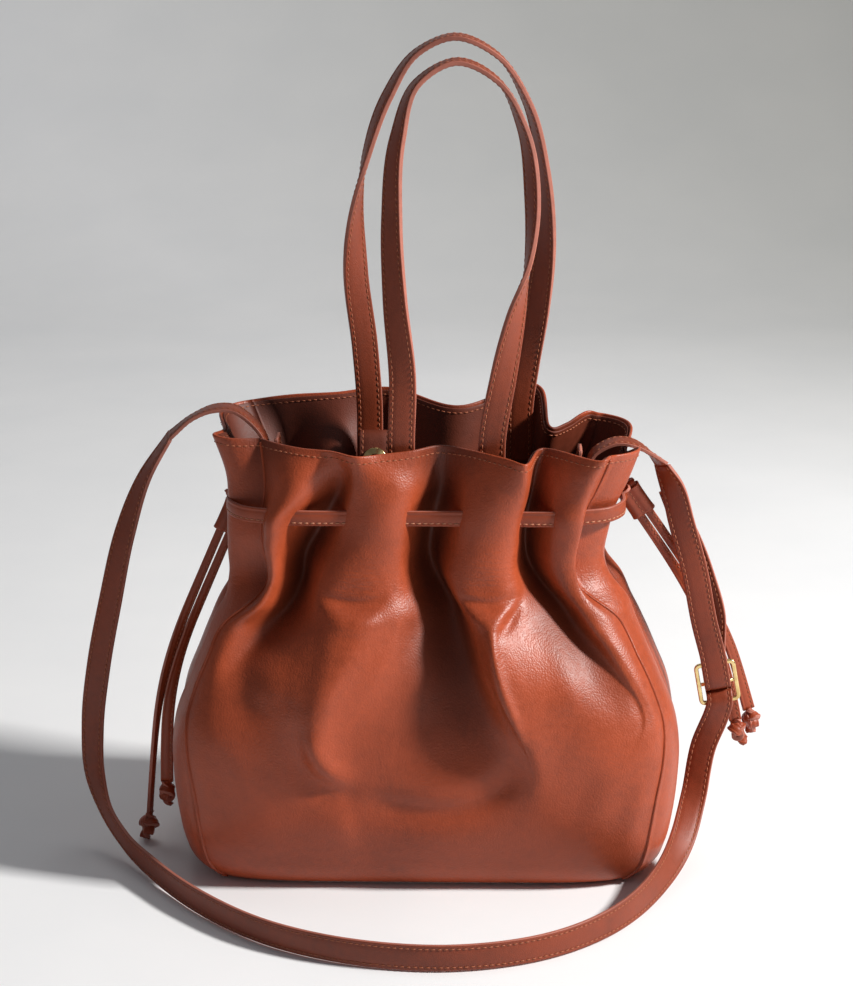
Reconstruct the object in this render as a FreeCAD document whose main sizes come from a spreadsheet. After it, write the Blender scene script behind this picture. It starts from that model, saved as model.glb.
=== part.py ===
import FreeCAD, Part
import math
import os
import Sketcher
from FreeCAD import Matrix, Placement, Vector

# Bucket bag: gathered leather body, two top handles, drawstring with sliders and a buckled strap.
# Millimetres. The origin is the middle of the base where it rests, +Z is up, the front faces -Y.

os.makedirs("parts", exist_ok=True)
doc = FreeCAD.newDocument("bucket_bag")

# ---------------------------------------------------------------- driving dimensions
SIZES = [
    ("bag_height", 300.0),
    ("base_length", 300.0),
    ("base_depth", 150.0),
    ("belly_length", 344.0),
    ("belly_depth", 192.0),
    ("neck_length", 250.0),
    ("neck_depth", 104.0),
    ("rim_length", 282.0),
    ("rim_depth", 112.0),
    ("fold_depth", 13.0),
    ("rim_fold_depth", 9.0),
    ("crease_depth", 12.0),
    ("leather", 1.8),
    ("facing_leather", 1.0),
    ("lining_cloth", 0.6),
    ("seam_gap", 0.4),
    ("facing_height", 38.0),
    ("base_plate", 2.4),
    ("board_thickness", 2.0),
    ("board_margin", 12.0),
    ("lace_level", 256.0),
    ("lace_width", 10.5),
    ("lace_thickness", 2.4),
    ("front_lace_end", 9.0),
    ("back_lace_end", 15.0),
    ("slot_clearance", 0.6),
    ("handle_width", 18.0),
    ("handle_thickness", 3.4),
    ("handle_hinge_level", 303.0),
    ("strap_width", 18.0),
    ("strap_thickness", 2.6),
    ("tail_diameter", 6.0),
    ("slider_width", 16.4),
    ("slider_depth", 9.6),
    ("slider_length", 22.0),
    ("slider_bore_width", 13.6),
    ("slider_bore_depth", 6.8),
    ("knot_radius", 7.0),
    ("knot_height", 18.0),
    ("low_knot_radius", 8.3),
    ("low_knot_height", 20.0),
    ("buckle_width", 29.0),
    ("buckle_height", 31.0),
    ("buckle_bar", 3.0),
    ("buckle_thickness", 2.4),
    ("window_width", 22.0),
    ("centre_bar", 2.4),
    ("prong_diameter", 2.0),
    ("prong_length", 18.5),
    ("prong_slot", 3.6),
    ("ring_width", 26.0),
    ("ring_height", 15.0),
    ("ring_bar", 2.8),
    ("ring_inner_width", 20.4),
    ("tab_width", 22.0),
    ("tab_thickness", 2.2),
    ("snap_radius", 8.5),
    ("snap_thickness", 2.6),
    ("snap_washer_thickness", 1.0),
]
sheet = doc.addObject("Spreadsheet::Sheet", "sizes")
for row, (alias, number) in enumerate(SIZES, start=1):
    sheet.set("A%d" % row, alias)
    sheet.set("B%d" % row, str(number))
    sheet.setAlias("B%d" % row, alias)
doc.recompute()


def size(alias):
    """A driving dimension, read from the sheet."""
    return float(sheet.get(alias))


nodes = []


def keep(node_object, label):
    """Names an object's node and remembers it for the export."""
    node_object.Label = label
    nodes.append(node_object)
    return node_object


def feature(label, shape, placement=None):
    """A sub-part whose shape is worked out in code."""
    made = doc.addObject("Part::Feature", label)
    made.Shape = shape
    if placement:
        made.Placement = placement
    return keep(made, label)


# ---------------------------------------------------------------- the gathered body
NECK_LOW, NECK_HIGH = 205.0, 240.0
BELLY = size("belly_length") / 2
NECK = size("neck_length") / 2
RIM = size("rim_length") / 2
BELLY_Y = size("belly_depth") / 2
NECK_Y = size("neck_depth") / 2
RIM_Y = size("rim_depth") / 2

# level, half length, half depth, corner power, fold depth, crease depth
LEVELS = [
    (0.0, size("base_length") / 2, size("base_depth") / 2, 5.0, 0.0, 0.0),
    (40.0, 0.975 * BELLY, 0.92 * BELLY_Y, 4.8, 0.5, 0.0),
    (90.0, BELLY, BELLY_Y, 4.4, 2.0, 0.0),
    (140.0, 0.94 * BELLY, 0.93 * BELLY_Y, 4.2, 6.0, 2.0),
    (175.0, 0.85 * BELLY, 0.78 * BELLY_Y, 4.0, 10.0, 7.0),
    (NECK_LOW, 1.02 * NECK, 1.14 * NECK_Y, 4.0, size("fold_depth"), size("crease_depth")),
    (NECK_HIGH, NECK, NECK_Y, 4.0, size("fold_depth"), size("crease_depth")),
    (270.0, 1.05 * NECK, 1.03 * NECK_Y, 4.0, 0.85 * size("fold_depth"), size("crease_depth")),
    (size("bag_height"), RIM, RIM_Y, 4.0, size("rim_fold_depth"), 0.8 * size("crease_depth")),
]
# Where the gathers stand out (+) and fall in (-) along the neck, from left to right, as a share of the fold.
FRONT_FOLDS = [(-88, 0.6), (-62, -1), (-31, 1), (10, -1), (48, 1), (71, -0.8), (90, 0.5)]
BACK_FOLDS = [(-88, 0.6), (-63, -1), (-34, 1), (14, -1), (60, 1), (78, -0.6), (92, 0.4)]
NECK_SEAM = NECK * 0.5 ** (1 / 4.0)


def level_values(height):
    """The body's half length, half depth, corner power and folds at a height."""
    rows = LEVELS
    upper = next((i for i, row in enumerate(rows) if row[0] >= height), len(rows) - 1)
    upper = max(upper, 1)
    low, high = rows[upper - 1], rows[upper]
    part = (height - low[0]) / (high[0] - low[0])
    return [a + (b - a) * part for a, b in zip(low[1:], high[1:])]


def wall_points(side, height, trim):
    """Points along one wall's outer face at a height; trim leaves room for the seam."""
    half_x, half_y, power, fold, crease = level_values(height)
    corner = 0.5 ** (1 / power)
    seam_x, seam_y = half_x * corner, half_y * corner
    points = []
    if side in ("front", "back"):
        sign = -1 if side == "front" else 1
        stretch = 0.97 * seam_x / NECK_SEAM
        points.append(Vector(-seam_x + trim, sign * seam_y, height))
        for place, out in FRONT_FOLDS if side == "front" else BACK_FOLDS:
            x = place * stretch
            y = half_y * (1 - abs(x / half_x) ** power) ** (1 / power) + out * fold
            points.append(Vector(x, sign * y, height))
        points.append(Vector(seam_x - trim, sign * seam_y, height))
        return points
    sign = -1 if side == "left" else 1
    end = seam_y - trim
    points.append(Vector(sign * seam_x, -end, height))
    for share in (-0.5, 0.0, 0.5):
        y = share * end
        x = half_x * (1 - abs(y / half_y) ** power) ** (1 / power)
        points.append(Vector(sign * (x - (crease if share == 0.0 else 0.0)), y, height))
    points.append(Vector(sign * seam_x, end, height))
    return points


INWARD = {"front": 1, "back": -1, "left": -1, "right": 1}
SAMPLES = 28


def wall_curve(side, height, inset):
    """One wall's line at a height, a distance inside its outer face and mitred at the seams."""
    outer = Part.BSplineCurve()
    outer.interpolate(wall_points(side, height, size("seam_gap") / 2))
    first, last = outer.FirstParameter, outer.LastParameter
    shifted = []
    for step in range(SAMPLES + 1):
        at = first + (last - first) * step / SAMPLES
        point, along = outer.value(at), outer.tangent(at)[0]
        inward = Vector(-along.y, along.x, 0) * INWARD[side]
        if step in (0, SAMPLES):
            inward = Vector(-math.copysign(0.8, point.x), -math.copysign(0.8, point.y), 0)
        shifted.append(point + inward * inset)
    curve = Part.BSplineCurve()
    curve.interpolate(shifted)
    return curve


def wall_section(side, height, inset, thickness):
    """The closed outline of one wall at one height."""
    outer = wall_curve(side, height, inset)
    inner = wall_curve(side, height, inset + thickness)
    return Part.Wire([
        outer.toShape(),
        Part.LineSegment(outer.EndPoint, inner.EndPoint).toShape(),
        inner.toShape(),
        Part.LineSegment(inner.StartPoint, outer.StartPoint).toShape(),
    ])


def wall(side, inset, thickness):
    """A sewn panel: a solid through the sections from the base plate to the rim."""
    heights = [size("base_plate")] + [row[0] for row in LEVELS[1:]]
    return Part.makeLoft([wall_section(side, z, inset, thickness) for z in heights], True, False)


def strip(side, inset, thickness, low, high):
    """The part of such a wall between two heights."""
    reach = size("belly_length")
    slab = Part.makeBox(2 * reach, 2 * reach, high - low, Vector(-reach, -reach, low))
    return wall(side, inset, thickness).common(slab)


def plan_points(height, inset, count):
    """Points round the plan of the body at a height, without its folds."""
    half_x, half_y, power = level_values(height)[:3]
    half_x -= inset
    half_y -= inset
    points = []
    for step in range(count):
        turn = 2 * math.pi * step / count
        c, s = math.cos(turn), math.sin(turn)
        x = math.copysign(abs(c) ** (2 / power), c) * half_x
        y = math.copysign(abs(s) ** (2 / power), s) * half_y
        points.append(Vector(x, y, height))
    return points


def plate(level, inset, thickness):
    """A flat piece with the plan of the base."""
    outline = Part.BSplineCurve()
    outline.interpolate(Points=plan_points(0.0, inset, 32), PeriodicFlag=True)
    face = Part.Face(Part.Wire([outline.toShape()]))
    face.translate(Vector(0, 0, level))
    return face.extrude(Vector(0, 0, thickness))


BASE_TOP = size("base_plate")
TOP = size("bag_height")
LEATHER = size("leather")
PLY_GAP = 0.4
SIDES = ("front", "back", "left", "right")


# ---------------------------------------------------------------- the drawstring through the neck
def lace_points(front):
    """The middle line of one drawstring round half the neck, from left to right."""
    reach = NECK + 8.0
    run = NECK_Y + 2.5
    # The back lace stops short of the slider, which swings that way.
    end = size("front_lace_end") if front else size("back_lace_end")
    points = [
        Vector(-reach - 0.5, -end, 0), Vector(-reach + 0.5, -27, 0), Vector(-0.93 * reach, -42, 0),
        Vector(-0.74 * reach, -run + 2, 0), Vector(-0.3 * reach, -run, 0), Vector(0.3 * reach, -run, 0),
        Vector(0.74 * reach, -run + 2, 0), Vector(0.93 * reach, -42, 0), Vector(reach - 0.5, -27, 0),
        Vector(reach + 0.5, -end, 0),
    ]
    return points if front else [Vector(p.x, -p.y, 0) for p in points]


def band(points, width, thickness, level):
    """A flat band standing on edge along a level line."""
    line = Part.BSplineCurve()
    line.interpolate(points)
    first, last = line.FirstParameter, line.LastParameter
    sides = []
    for offset in (thickness / 2, -thickness / 2):
        shifted = []
        for step in range(33):
            at = first + (last - first) * step / 32
            along = line.tangent(at)[0]
            shifted.append(line.value(at) + Vector(-along.y, along.x, 0) * offset)
        edge = Part.BSplineCurve()
        edge.interpolate(shifted)
        sides.append(edge)
    outline = Part.Wire([
        sides[0].toShape(),
        Part.LineSegment(sides[0].EndPoint, sides[1].EndPoint).toShape(),
        sides[1].toShape(),
        Part.LineSegment(sides[1].StartPoint, sides[0].StartPoint).toShape(),
    ])
    face = Part.Face(outline)
    face.translate(Vector(0, 0, level - width / 2))
    return face.extrude(Vector(0, 0, width))


def lace(front, clearance=0.0):
    """One drawstring, or the slot that it needs."""
    return band(lace_points(front), size("lace_width") + 2 * clearance,
                size("lace_thickness") + 2 * clearance, size("lace_level"))


slots = [lace(True, size("slot_clearance")), lace(False, size("slot_clearance"))]
# The strap presses a dip into the right gusset's rim.
rim_dip = Part.makeCylinder(22, 80, Vector(80, 0, TOP + 9), Vector(1, 0, 0))
for side in SIDES:
    panel = wall(side, 0.0, LEATHER)
    if side in ("front", "back"):
        panel = panel.cut(slots[0] if side == "front" else slots[1])
    if side == "right":
        panel = panel.cut(rim_dip)
    name = side + ("_panel" if side in ("front", "back") else "_gusset")
    feature(name, panel)

for side in SIDES:
    facing = strip(side, LEATHER + PLY_GAP, size("facing_leather"), TOP - size("facing_height"), TOP - 1.0)
    if side == "right":
        facing = facing.cut(rim_dip)
    feature(side + "_facing", facing)

cloth_top = size("lace_level") - size("lace_width")
cloth = [strip(side, LEATHER + PLY_GAP, size("lining_cloth"), BASE_TOP + 3.4, cloth_top) for side in SIDES]
feature("lining", Part.makeCompound(cloth))
feature("base_panel", plate(0.0, 0.0, BASE_TOP))
feature("base_board", plate(BASE_TOP + 0.2, size("board_margin"), size("board_thickness")))
feature("front_drawstring", lace(True))
feature("back_drawstring", lace(False))


# ---------------------------------------------------------------- flat straps
def ribbon(stations, width, thickness, steps=3):
    """A flat strap: each station is its centre and the direction across it."""
    centres = [Vector(*station[0]) for station in stations]
    across = [Vector(*station[1]) for station in stations]
    line = Part.BSplineCurve()
    line.interpolate(centres)
    marks = [line.parameter(centre) for centre in centres]
    sections = []
    for index in range(len(stations) - 1):
        last = index == len(stations) - 2
        for step in range(steps + (1 if last else 0)):
            part = step / steps
            at = marks[index] + (marks[index + 1] - marks[index]) * part
            blend = part * part * (3 - 2 * part)
            along = line.tangent(at)[0]
            aside = across[index] * (1 - blend) + across[index + 1] * blend
            aside = (aside - along * aside.dot(along)).normalize() * (width / 2)
            normal = aside.cross(along).normalize() * (thickness / 2)
            middle = line.value(at)
            corners = [middle + aside + normal, middle - aside + normal,
                       middle - aside - normal, middle + aside - normal]
            sections.append(Part.makePolygon(corners + [corners[0]]))
    return Part.makeLoft(sections, True, True)


def direction(angle):
    """A level direction, in degrees from +X."""
    return (math.cos(math.radians(angle)), math.sin(math.radians(angle)), 0.0)


HINGE = size("handle_hinge_level")
FRONT_LEG_Y, BACK_LEG_Y = -41.0, 42.0
# Centre of each handle from its left leg to its right leg, and the angle across it.
FRONT_HANDLE = [
    ((-16, FRONT_LEG_Y, HINGE), 0), ((-15, -40, 345), -8), ((-20, -36, 400), -32),
    ((-22, -31, 450), -46), ((-18, -27, 504), -62), ((-6, -23, 538), -80), ((20, -21, 552), -90),
    ((47, -22, 539), -86), ((62, -25, 511), -72), ((69, -29, 466), -63), ((67, -33, 425), -84),
    ((59, -37, 389), -130), ((51, -40, 348), -165), ((44, FRONT_LEG_Y, HINGE), -180),
]
BACK_HANDLE = [
    ((-40, BACK_LEG_Y, HINGE), -180), ((-43, 43, 348), -172), ((-49, 40, 403), -150),
    ((-48, 35, 445), -112), ((-41, 30, 482), -80), ((-26, 25, 524), -72), ((-6, 21, 553), -84),
    ((18, 20, 563), -90), ((46, 21, 551), -86), ((66, 25, 520), -76), ((77, 31, 474), -64),
    ((80, 36, 430), -50), ((75, 42, 378), -22), ((68, 44, 335), -6), ((64, BACK_LEG_Y, HINGE), 0),
]
for name, path in (("front_handle", FRONT_HANDLE), ("back_handle", BACK_HANDLE)):
    stations = [(centre, direction(angle)) for centre, angle in path]
    feature(name, ribbon(stations, size("handle_width"), size("handle_thickness"), steps=2))

ANCHOR_LOW, ANCHOR_TOP = TOP - 34.0, TOP + 0.6
HANDLE_ENDS = (("front_handle_ends", FRONT_LEG_Y, (-16, 44)), ("back_handle_ends", BACK_LEG_Y, (-40, 64)))
for name, y, places in HANDLE_ENDS:
    ends = []
    for x in places:
        wide, thick = size("handle_width"), size("handle_thickness")
        corner = Vector(x - wide / 2, y - thick / 2, ANCHOR_LOW)
        ends.append(Part.makeBox(wide, thick, ANCHOR_TOP - ANCHOR_LOW, corner))
    feature(name, Part.makeCompound(ends))

# The shoulder strap: over the left rim, down to the floor, round the front, up to the buckle.
ACROSS_Y, ACROSS_X, UPRIGHT, BUCKLED = (0, -1, 0), (1, 0, 0), (0, 0, 1), (-1, 0, -0.19)
LEFT_PIVOT, RIGHT_PIVOT = (-158, 0, 310), (150, 0, 287.5)
LONG_STRAP = [
    (LEFT_PIVOT, (0.1, -1, 0.1)), ((-174, 0, 297), (0.25, -1, 0.1)), ((-192, 0, 268), (0.6, -1, 0.1)),
    ((-207, 0, 228), (1, -0.8, 0)), ((-219, 0, 178), (1, -0.5, 0)), ((-229, 0, 130), (1, -0.4, 0)),
    ((-235, 0, 84), (1, -0.5, 0)), ((-234, -6, 52), (0.9, -0.6, 0.2)), ((-225, -20, 30), (0.5, -0.7, 0.6)),
    ((-208, -44, 16), (0.2, -0.5, 1)), ((-184, -78, 11), (0.1, -0.2, 1)), ((-146, -126, 9.6), UPRIGHT),
    ((-98, -168, 9.6), UPRIGHT), ((-40, -193, 9.6), UPRIGHT), ((22, -199, 9.6), UPRIGHT),
    ((80, -182, 9.6), UPRIGHT), ((126, -144, 9.8), (-0.1, 0.1, 1)), ((157, -96, 13), (-0.3, 0.3, 1)),
    ((177, -50, 24), (-0.8, 0.5, 0.7)), ((187, -20, 44), (-1, 0.5, 0.3)), ((194, -7, 76), (-1, 0.25, 0)),
    ((202.8, -3.9, 99), BUCKLED), ((204.5, -4.0, 107.0), BUCKLED), ((204.2, -2.2, 111.7), BUCKLED),
    ((203.8, 2.1, 114.0), BUCKLED), ((203.2, 5.7, 117.1), BUCKLED), ((202.4, 6.6, 121.5), BUCKLED),
    ((199.5, 7.6, 139), (-1, 0.2, 0)), ((199, 10, 166), (-1, 0.3, 0)), ((190, 8.6, 196), (-1, 0.2, 0)),
    ((178, 7, 228), (-1, 0.1, 0)), ((164, 8.4, 258), (-1, 0.1, -0.3)),
]
SHORT_STRAP = [
    (RIGHT_PIVOT, (0.1, -1, 0.1)), ((160, 0, 278), (0.5, -0.9, 0.2)), ((168, 0, 260), (1, -0.5, 0.3)),
    ((174, -0.8, 238), (1, -0.2, 0.3)), ((184, -2.2, 203), (1, 0, 0.2)), ((192, -2.8, 165), (1, 0, 0.2)),
    ((199.2, -3.4, 138), (1, 0, 0.19)), ((202.5, -3.3, 121), (1, 0, 0.19)),
    ((203.0, -2.6, 118.1), (1, 0, 0.19)), ((203.2, 0.0, 116.9), (1, 0, 0.19)),
    ((203.0, 2.6, 118.1), (1, 0, 0.19)), ((202.5, 3.2, 121), (1, 0, 0.19)),
    ((201.0, 3.0, 129.0), (1, 0, 0.19)),
]
BUCKLE_CENTRE = (202.6, 0.0, 120.4)
BUCKLE_ACROSS, BUCKLE_UP = (1, 0, 0.19), (-0.19, 0, 1)
long_strap = ribbon(LONG_STRAP, size("strap_width"), size("strap_thickness"), steps=2)
short_strap = ribbon(SHORT_STRAP, size("strap_width"), size("strap_thickness"), steps=2)
# The oval slots that the prong turns in: one in the fold, one where the long strap is pinned.
slot_wide = size("prong_slot")
fold_slot = Part.makeBox(slot_wide, 12, 9, Vector(-slot_wide / 2, -6, -5.4))
fold_slot_back = Part.makeBox(slot_wide, 6, 14.5, Vector(-slot_wide / 2, 0, -5.4))
pin_slot = Part.makeBox(slot_wide, 9, 19, Vector(-slot_wide / 2, 3.6, -1.8))
buckle_lean = Placement(Vector(*BUCKLE_CENTRE), FreeCAD.Rotation(Vector(0, 1, 0), -10.8))
for cutter in (fold_slot, fold_slot_back, pin_slot):
    cutter.Placement = buckle_lean * cutter.Placement
feature("short_strap", short_strap.cut([fold_slot, fold_slot_back]))
feature("long_strap", long_strap.cut(pin_slot))
LEFT_END = [
    ((-156, 0, 311.4), (0.1, -1, 0.1)), ((-144, 0, 316), ACROSS_Y), ((-131, 0, 316), ACROSS_Y),
    ((-119, 0, 308), ACROSS_Y), ((-110.5, 0, 297), ACROSS_Y), ((-107.8, 0, 286), ACROSS_Y),
    ((-107.5, 0, 281.8), ACROSS_Y), ((-104.2, 0, 278.9), ACROSS_Y), ((-100.9, 0, 281.8), ACROSS_Y),
    ((-100.6, 0, 286), ACROSS_Y), ((-101.2, 0, 297), ACROSS_Y),
]
RIGHT_END = [
    ((148, 0, 289.2), (0.1, -1, 0.1)), ((139, 0, 293.4), ACROSS_Y), ((130, 0, 294.4), ACROSS_Y),
    ((120, 0, 291), ACROSS_Y), ((113, 0, 285.5), ACROSS_Y), ((110.7, 0, 280.2), ACROSS_Y),
    ((110.3, 0, 276), ACROSS_Y), ((107.0, 0, 273.1), ACROSS_Y), ((103.7, 0, 276), ACROSS_Y),
    ((103.4, 0, 280.2), ACROSS_Y), ((104.0, 0, 290), ACROSS_Y),
]
feature("strap_end_left", ribbon(LEFT_END, size("strap_width"), size("strap_thickness"), steps=2))
feature("strap_end_right", ribbon(RIGHT_END, size("strap_width"), size("strap_thickness"), steps=2))


# ---------------------------------------------------------------- rings, buckle and snap
def rectangle(sketch, tag, width, low, high, guess):
    """A rectangle centred across the sketch, between two heights; guess is width, low and high."""
    half, bottom, top = guess[0] / 2, guess[1], guess[2]
    corners = [Vector(-half, bottom, 0), Vector(half, bottom, 0), Vector(half, top, 0), Vector(-half, top, 0)]
    first = sketch.GeometryCount
    for index in range(4):
        sketch.addGeometry(Part.LineSegment(corners[index], corners[(index + 1) % 4]), False)
    for index in range(4):
        sketch.addConstraint(Sketcher.Constraint("Coincident", first + index, 2, first + (index + 1) % 4, 1))
    sketch.addConstraint(Sketcher.Constraint("Horizontal", first + 2))
    sketch.addConstraint(Sketcher.Constraint("Vertical", first + 1))
    sketch.addConstraint(Sketcher.Constraint("Vertical", first + 3))
    sketch.addConstraint(Sketcher.Constraint("Symmetric", first, 1, first, 2, -2))
    named = (("width", "DistanceX", (first, 1, first, 2), width, guess[0]),
             ("low", "DistanceY", (-1, 1, first, 1), low, bottom),
             ("high", "DistanceY", (-1, 1, first + 2, 1), high, top))
    for word, kind, ends, expression, number in named:
        place = sketch.addConstraint(Sketcher.Constraint(kind, *ends, number))
        sketch.renameConstraint(place, tag + "_" + word)
        sketch.setExpression("Constraints." + tag + "_" + word, expression)


def body_with_sketch(label):
    """A PartDesign body with an empty sketch on its XY plane."""
    body = doc.addObject("PartDesign::Body", label)
    sketch = body.newObject("Sketcher::SketchObject", label + "_outline")
    plane = next(item for item in body.Origin.OriginFeatures if item.Role == "XY_Plane")
    sketch.AttachmentSupport = [(plane, "")]
    sketch.MapMode = "FlatFace"
    return body, sketch


def pad(body, sketch, length):
    """Pads a sketch to both sides of its plane."""
    made = body.newObject("PartDesign::Pad", body.Name + "_pad")
    made.Profile = sketch
    made.SideType = "Symmetric"
    made.setExpression("Length", length)
    sketch.Visibility = False
    doc.recompute()
    return made


def round_corners(body, base, reach, radius):
    """Rounds the upright edges that lie further than a reach from the middle."""
    names = []
    for index, edge in enumerate(base.Shape.Edges, start=1):
        ends = [vertex.Point for vertex in edge.Vertexes]
        upright = len(ends) == 2 and math.hypot(ends[0].x - ends[1].x, ends[0].y - ends[1].y) < 1e-6
        if upright and abs(ends[0].x) > reach:
            names.append("Edge%d" % index)
    made = body.newObject("PartDesign::Fillet", body.Name + "_corners")
    made.Base = (base, names)
    made.Radius = radius
    doc.recompute()
    return made


def placed(origin, x_axis, y_axis):
    """A placement from an origin and two directions."""
    x_axis = Vector(*x_axis).normalize()
    y_axis = Vector(*y_axis)
    y_axis = (y_axis - x_axis * y_axis.dot(x_axis)).normalize()
    z_axis = x_axis.cross(y_axis)
    return Placement(Matrix(x_axis.x, y_axis.x, z_axis.x, origin[0],
                            x_axis.y, y_axis.y, z_axis.y, origin[1],
                            x_axis.z, y_axis.z, z_axis.z, origin[2], 0, 0, 0, 1))


body, sketch = body_with_sketch("buckle_frame")
rectangle(sketch, "outer", "sizes.buckle_width", "-sizes.buckle_height / 2", "sizes.buckle_height / 2",
          (29.0, -15.5, 15.5))
rectangle(sketch, "upper", "sizes.window_width", "sizes.centre_bar / 2",
          "sizes.buckle_height / 2 - sizes.buckle_bar", (22.0, 1.2, 12.5))
rectangle(sketch, "lower", "sizes.window_width", "-(sizes.buckle_height / 2 - sizes.buckle_bar)",
          "-sizes.centre_bar / 2", (22.0, -12.5, -1.2))
doc.recompute()
frame_pad = pad(body, sketch, "sizes.buckle_thickness")
round_corners(body, frame_pad, 12.0, 3.0)
body.Placement = placed(BUCKLE_CENTRE, BUCKLE_ACROSS, BUCKLE_UP)
keep(body, "buckle_frame")

RINGS = (("left_ring", (-104.2, 0, 277.4), -1), ("right_ring", (107.0, 0, 271.6), 1))
for name, centre, outward in RINGS:
    body, sketch = body_with_sketch(name)
    rectangle(sketch, "outer", "sizes.ring_width", "-sizes.ring_height / 2", "sizes.ring_height / 2",
              (26.0, -7.5, 7.5))
    rectangle(sketch, "inner", "sizes.ring_inner_width", "-(sizes.ring_height / 2 - sizes.ring_bar)",
              "sizes.ring_height / 2 - sizes.ring_bar", (20.4, -4.7, 4.7))
    doc.recompute()
    ring_pad = pad(body, sketch, "sizes.ring_bar")
    round_corners(body, ring_pad, 12.0, 2.4)
    body.Placement = placed(centre, (0, 1, 0), (0, 0, 1))
    keep(body, name)
    # Its tab goes over the lower bar and both plies are sewn to the gusset below.
    x, bar = centre[0], centre[2] - (size("ring_height") - size("ring_bar")) / 2
    plies = [
        ((x - outward * 1.8, 0, bar - 26), ACROSS_Y), ((x - outward * 2.2, 0, bar - 12), ACROSS_Y),
        ((x - outward * 3.4, 0, bar - 2), ACROSS_Y), ((x - outward * 3.2, 0, bar + 1.6), ACROSS_Y),
        ((x, 0, bar + 4.0), ACROSS_Y), ((x + outward * 3.2, 0, bar + 1.6), ACROSS_Y),
        ((x + outward * 3.4, 0, bar - 2), ACROSS_Y), ((x + outward * 2.2, 0, bar - 12), ACROSS_Y),
        ((x + outward * 1.8, 0, bar - 26), ACROSS_Y),
    ]
    feature(name + "_tab", ribbon(plies, size("ring_inner_width") - 1.2, size("tab_thickness")))

# The prong turns on the centre bar and leans out through both straps.
eye = Part.makeCylinder(3.0, 3.0, Vector(-1.5, 0, 0), Vector(1, 0, 0))
eye = eye.cut(Part.makeCylinder(2.0, 4.0, Vector(-2, 0, 0), Vector(1, 0, 0)))
lean = Vector(0, 0.5, 0.866)
pin = Part.makeCylinder(size("prong_diameter") / 2, size("prong_length") - 2.4, lean * 2.4, lean)
tip = Part.makeSphere(size("prong_diameter") / 2, lean * size("prong_length"))
feature("buckle_prong", eye.fuse([pin, tip]).removeSplitter(), buckle_lean)

# ---------------------------------------------------------------- snap tabs inside the mouth
TAB_X = -36.0
SNAP_TABS = {
    "back": [(38.6, 290), (34.5, 288), (29.5, 279), (27, 266), (26, 250)],
    "front": [(-37.5, 288), (-34.5, 283), (-31.5, 270), (-30.5, 250)],
}
SNAPS = {"back": ((TAB_X, 28.1, 272.4), (0, -0.97, 0.22)), "front": ((TAB_X, -31.4, 268.0), (0, 0.99, 0.06))}
for name, line in SNAP_TABS.items():
    stations = [((TAB_X, y, z), ACROSS_X) for y, z in line]
    feature(name + "_snap_tab", ribbon(stations, size("tab_width"), size("tab_thickness")))
    (centre, facing_way) = SNAPS[name]
    facing_way = Vector(*facing_way).normalize()
    half = size("tab_thickness") / 2 + 0.8
    for piece, radius, thickness, way in (
            ("snap_stud" if name == "back" else "snap_socket", "snap_radius", "snap_thickness", facing_way),
            (name + "_snap_washer", "snap_radius * 0.7", "snap_washer_thickness", facing_way * -1)):
        disc = doc.addObject("Part::Cylinder", piece)
        disc.setExpression("Radius", "sizes." + radius)
        disc.setExpression("Height", "sizes." + thickness)
        disc.Placement = Placement(Vector(*centre) + way * half, FreeCAD.Rotation(Vector(0, 0, 1), way))
        keep(disc, piece)


# ---------------------------------------------------------------- drawstring tails, knots and sliders
def tube(label, route, diameter):
    """A tube along straight runs joined by tangent arcs."""
    points = [Vector(*point) for point in route]
    runs = [(b - a).Length for a, b in zip(points, points[1:])]
    edges, at, radii, length = [], points[0], [], 0.0
    for index in range(1, len(points) - 1):
        before = (points[index] - points[index - 1]).normalize()
        after = (points[index + 1] - points[index]).normalize()
        turn = before.getAngle(after)
        cut_back = 0.45 * min(runs[index - 1], runs[index])
        radius = cut_back / math.tan(turn / 2)
        start, end = points[index] - before * cut_back, points[index] + after * cut_back
        aside = (after - before).normalize()
        middle = points[index] + aside * (radius / math.cos(turn / 2) - radius)
        edges += [Part.LineSegment(at, start).toShape(), Part.Arc(start, middle, end).toShape()]
        length += (start - at).Length + radius * turn
        radii.append(round(radius))
        at = end
    edges.append(Part.LineSegment(at, points[-1]).toShape())
    length += (points[-1] - at).Length
    ring = Part.makeCircle(diameter / 2, points[0], points[1] - points[0])
    solid = Part.Wire(edges).makePipeShell([Part.Wire([ring])], True, False)
    filled = solid.Volume / (math.pi * diameter ** 2 / 4 * length)
    print("%s: length %.0f, volume share %.3f, radii %s" % (label, length, filled, radii))
    return feature(label, solid)


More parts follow.
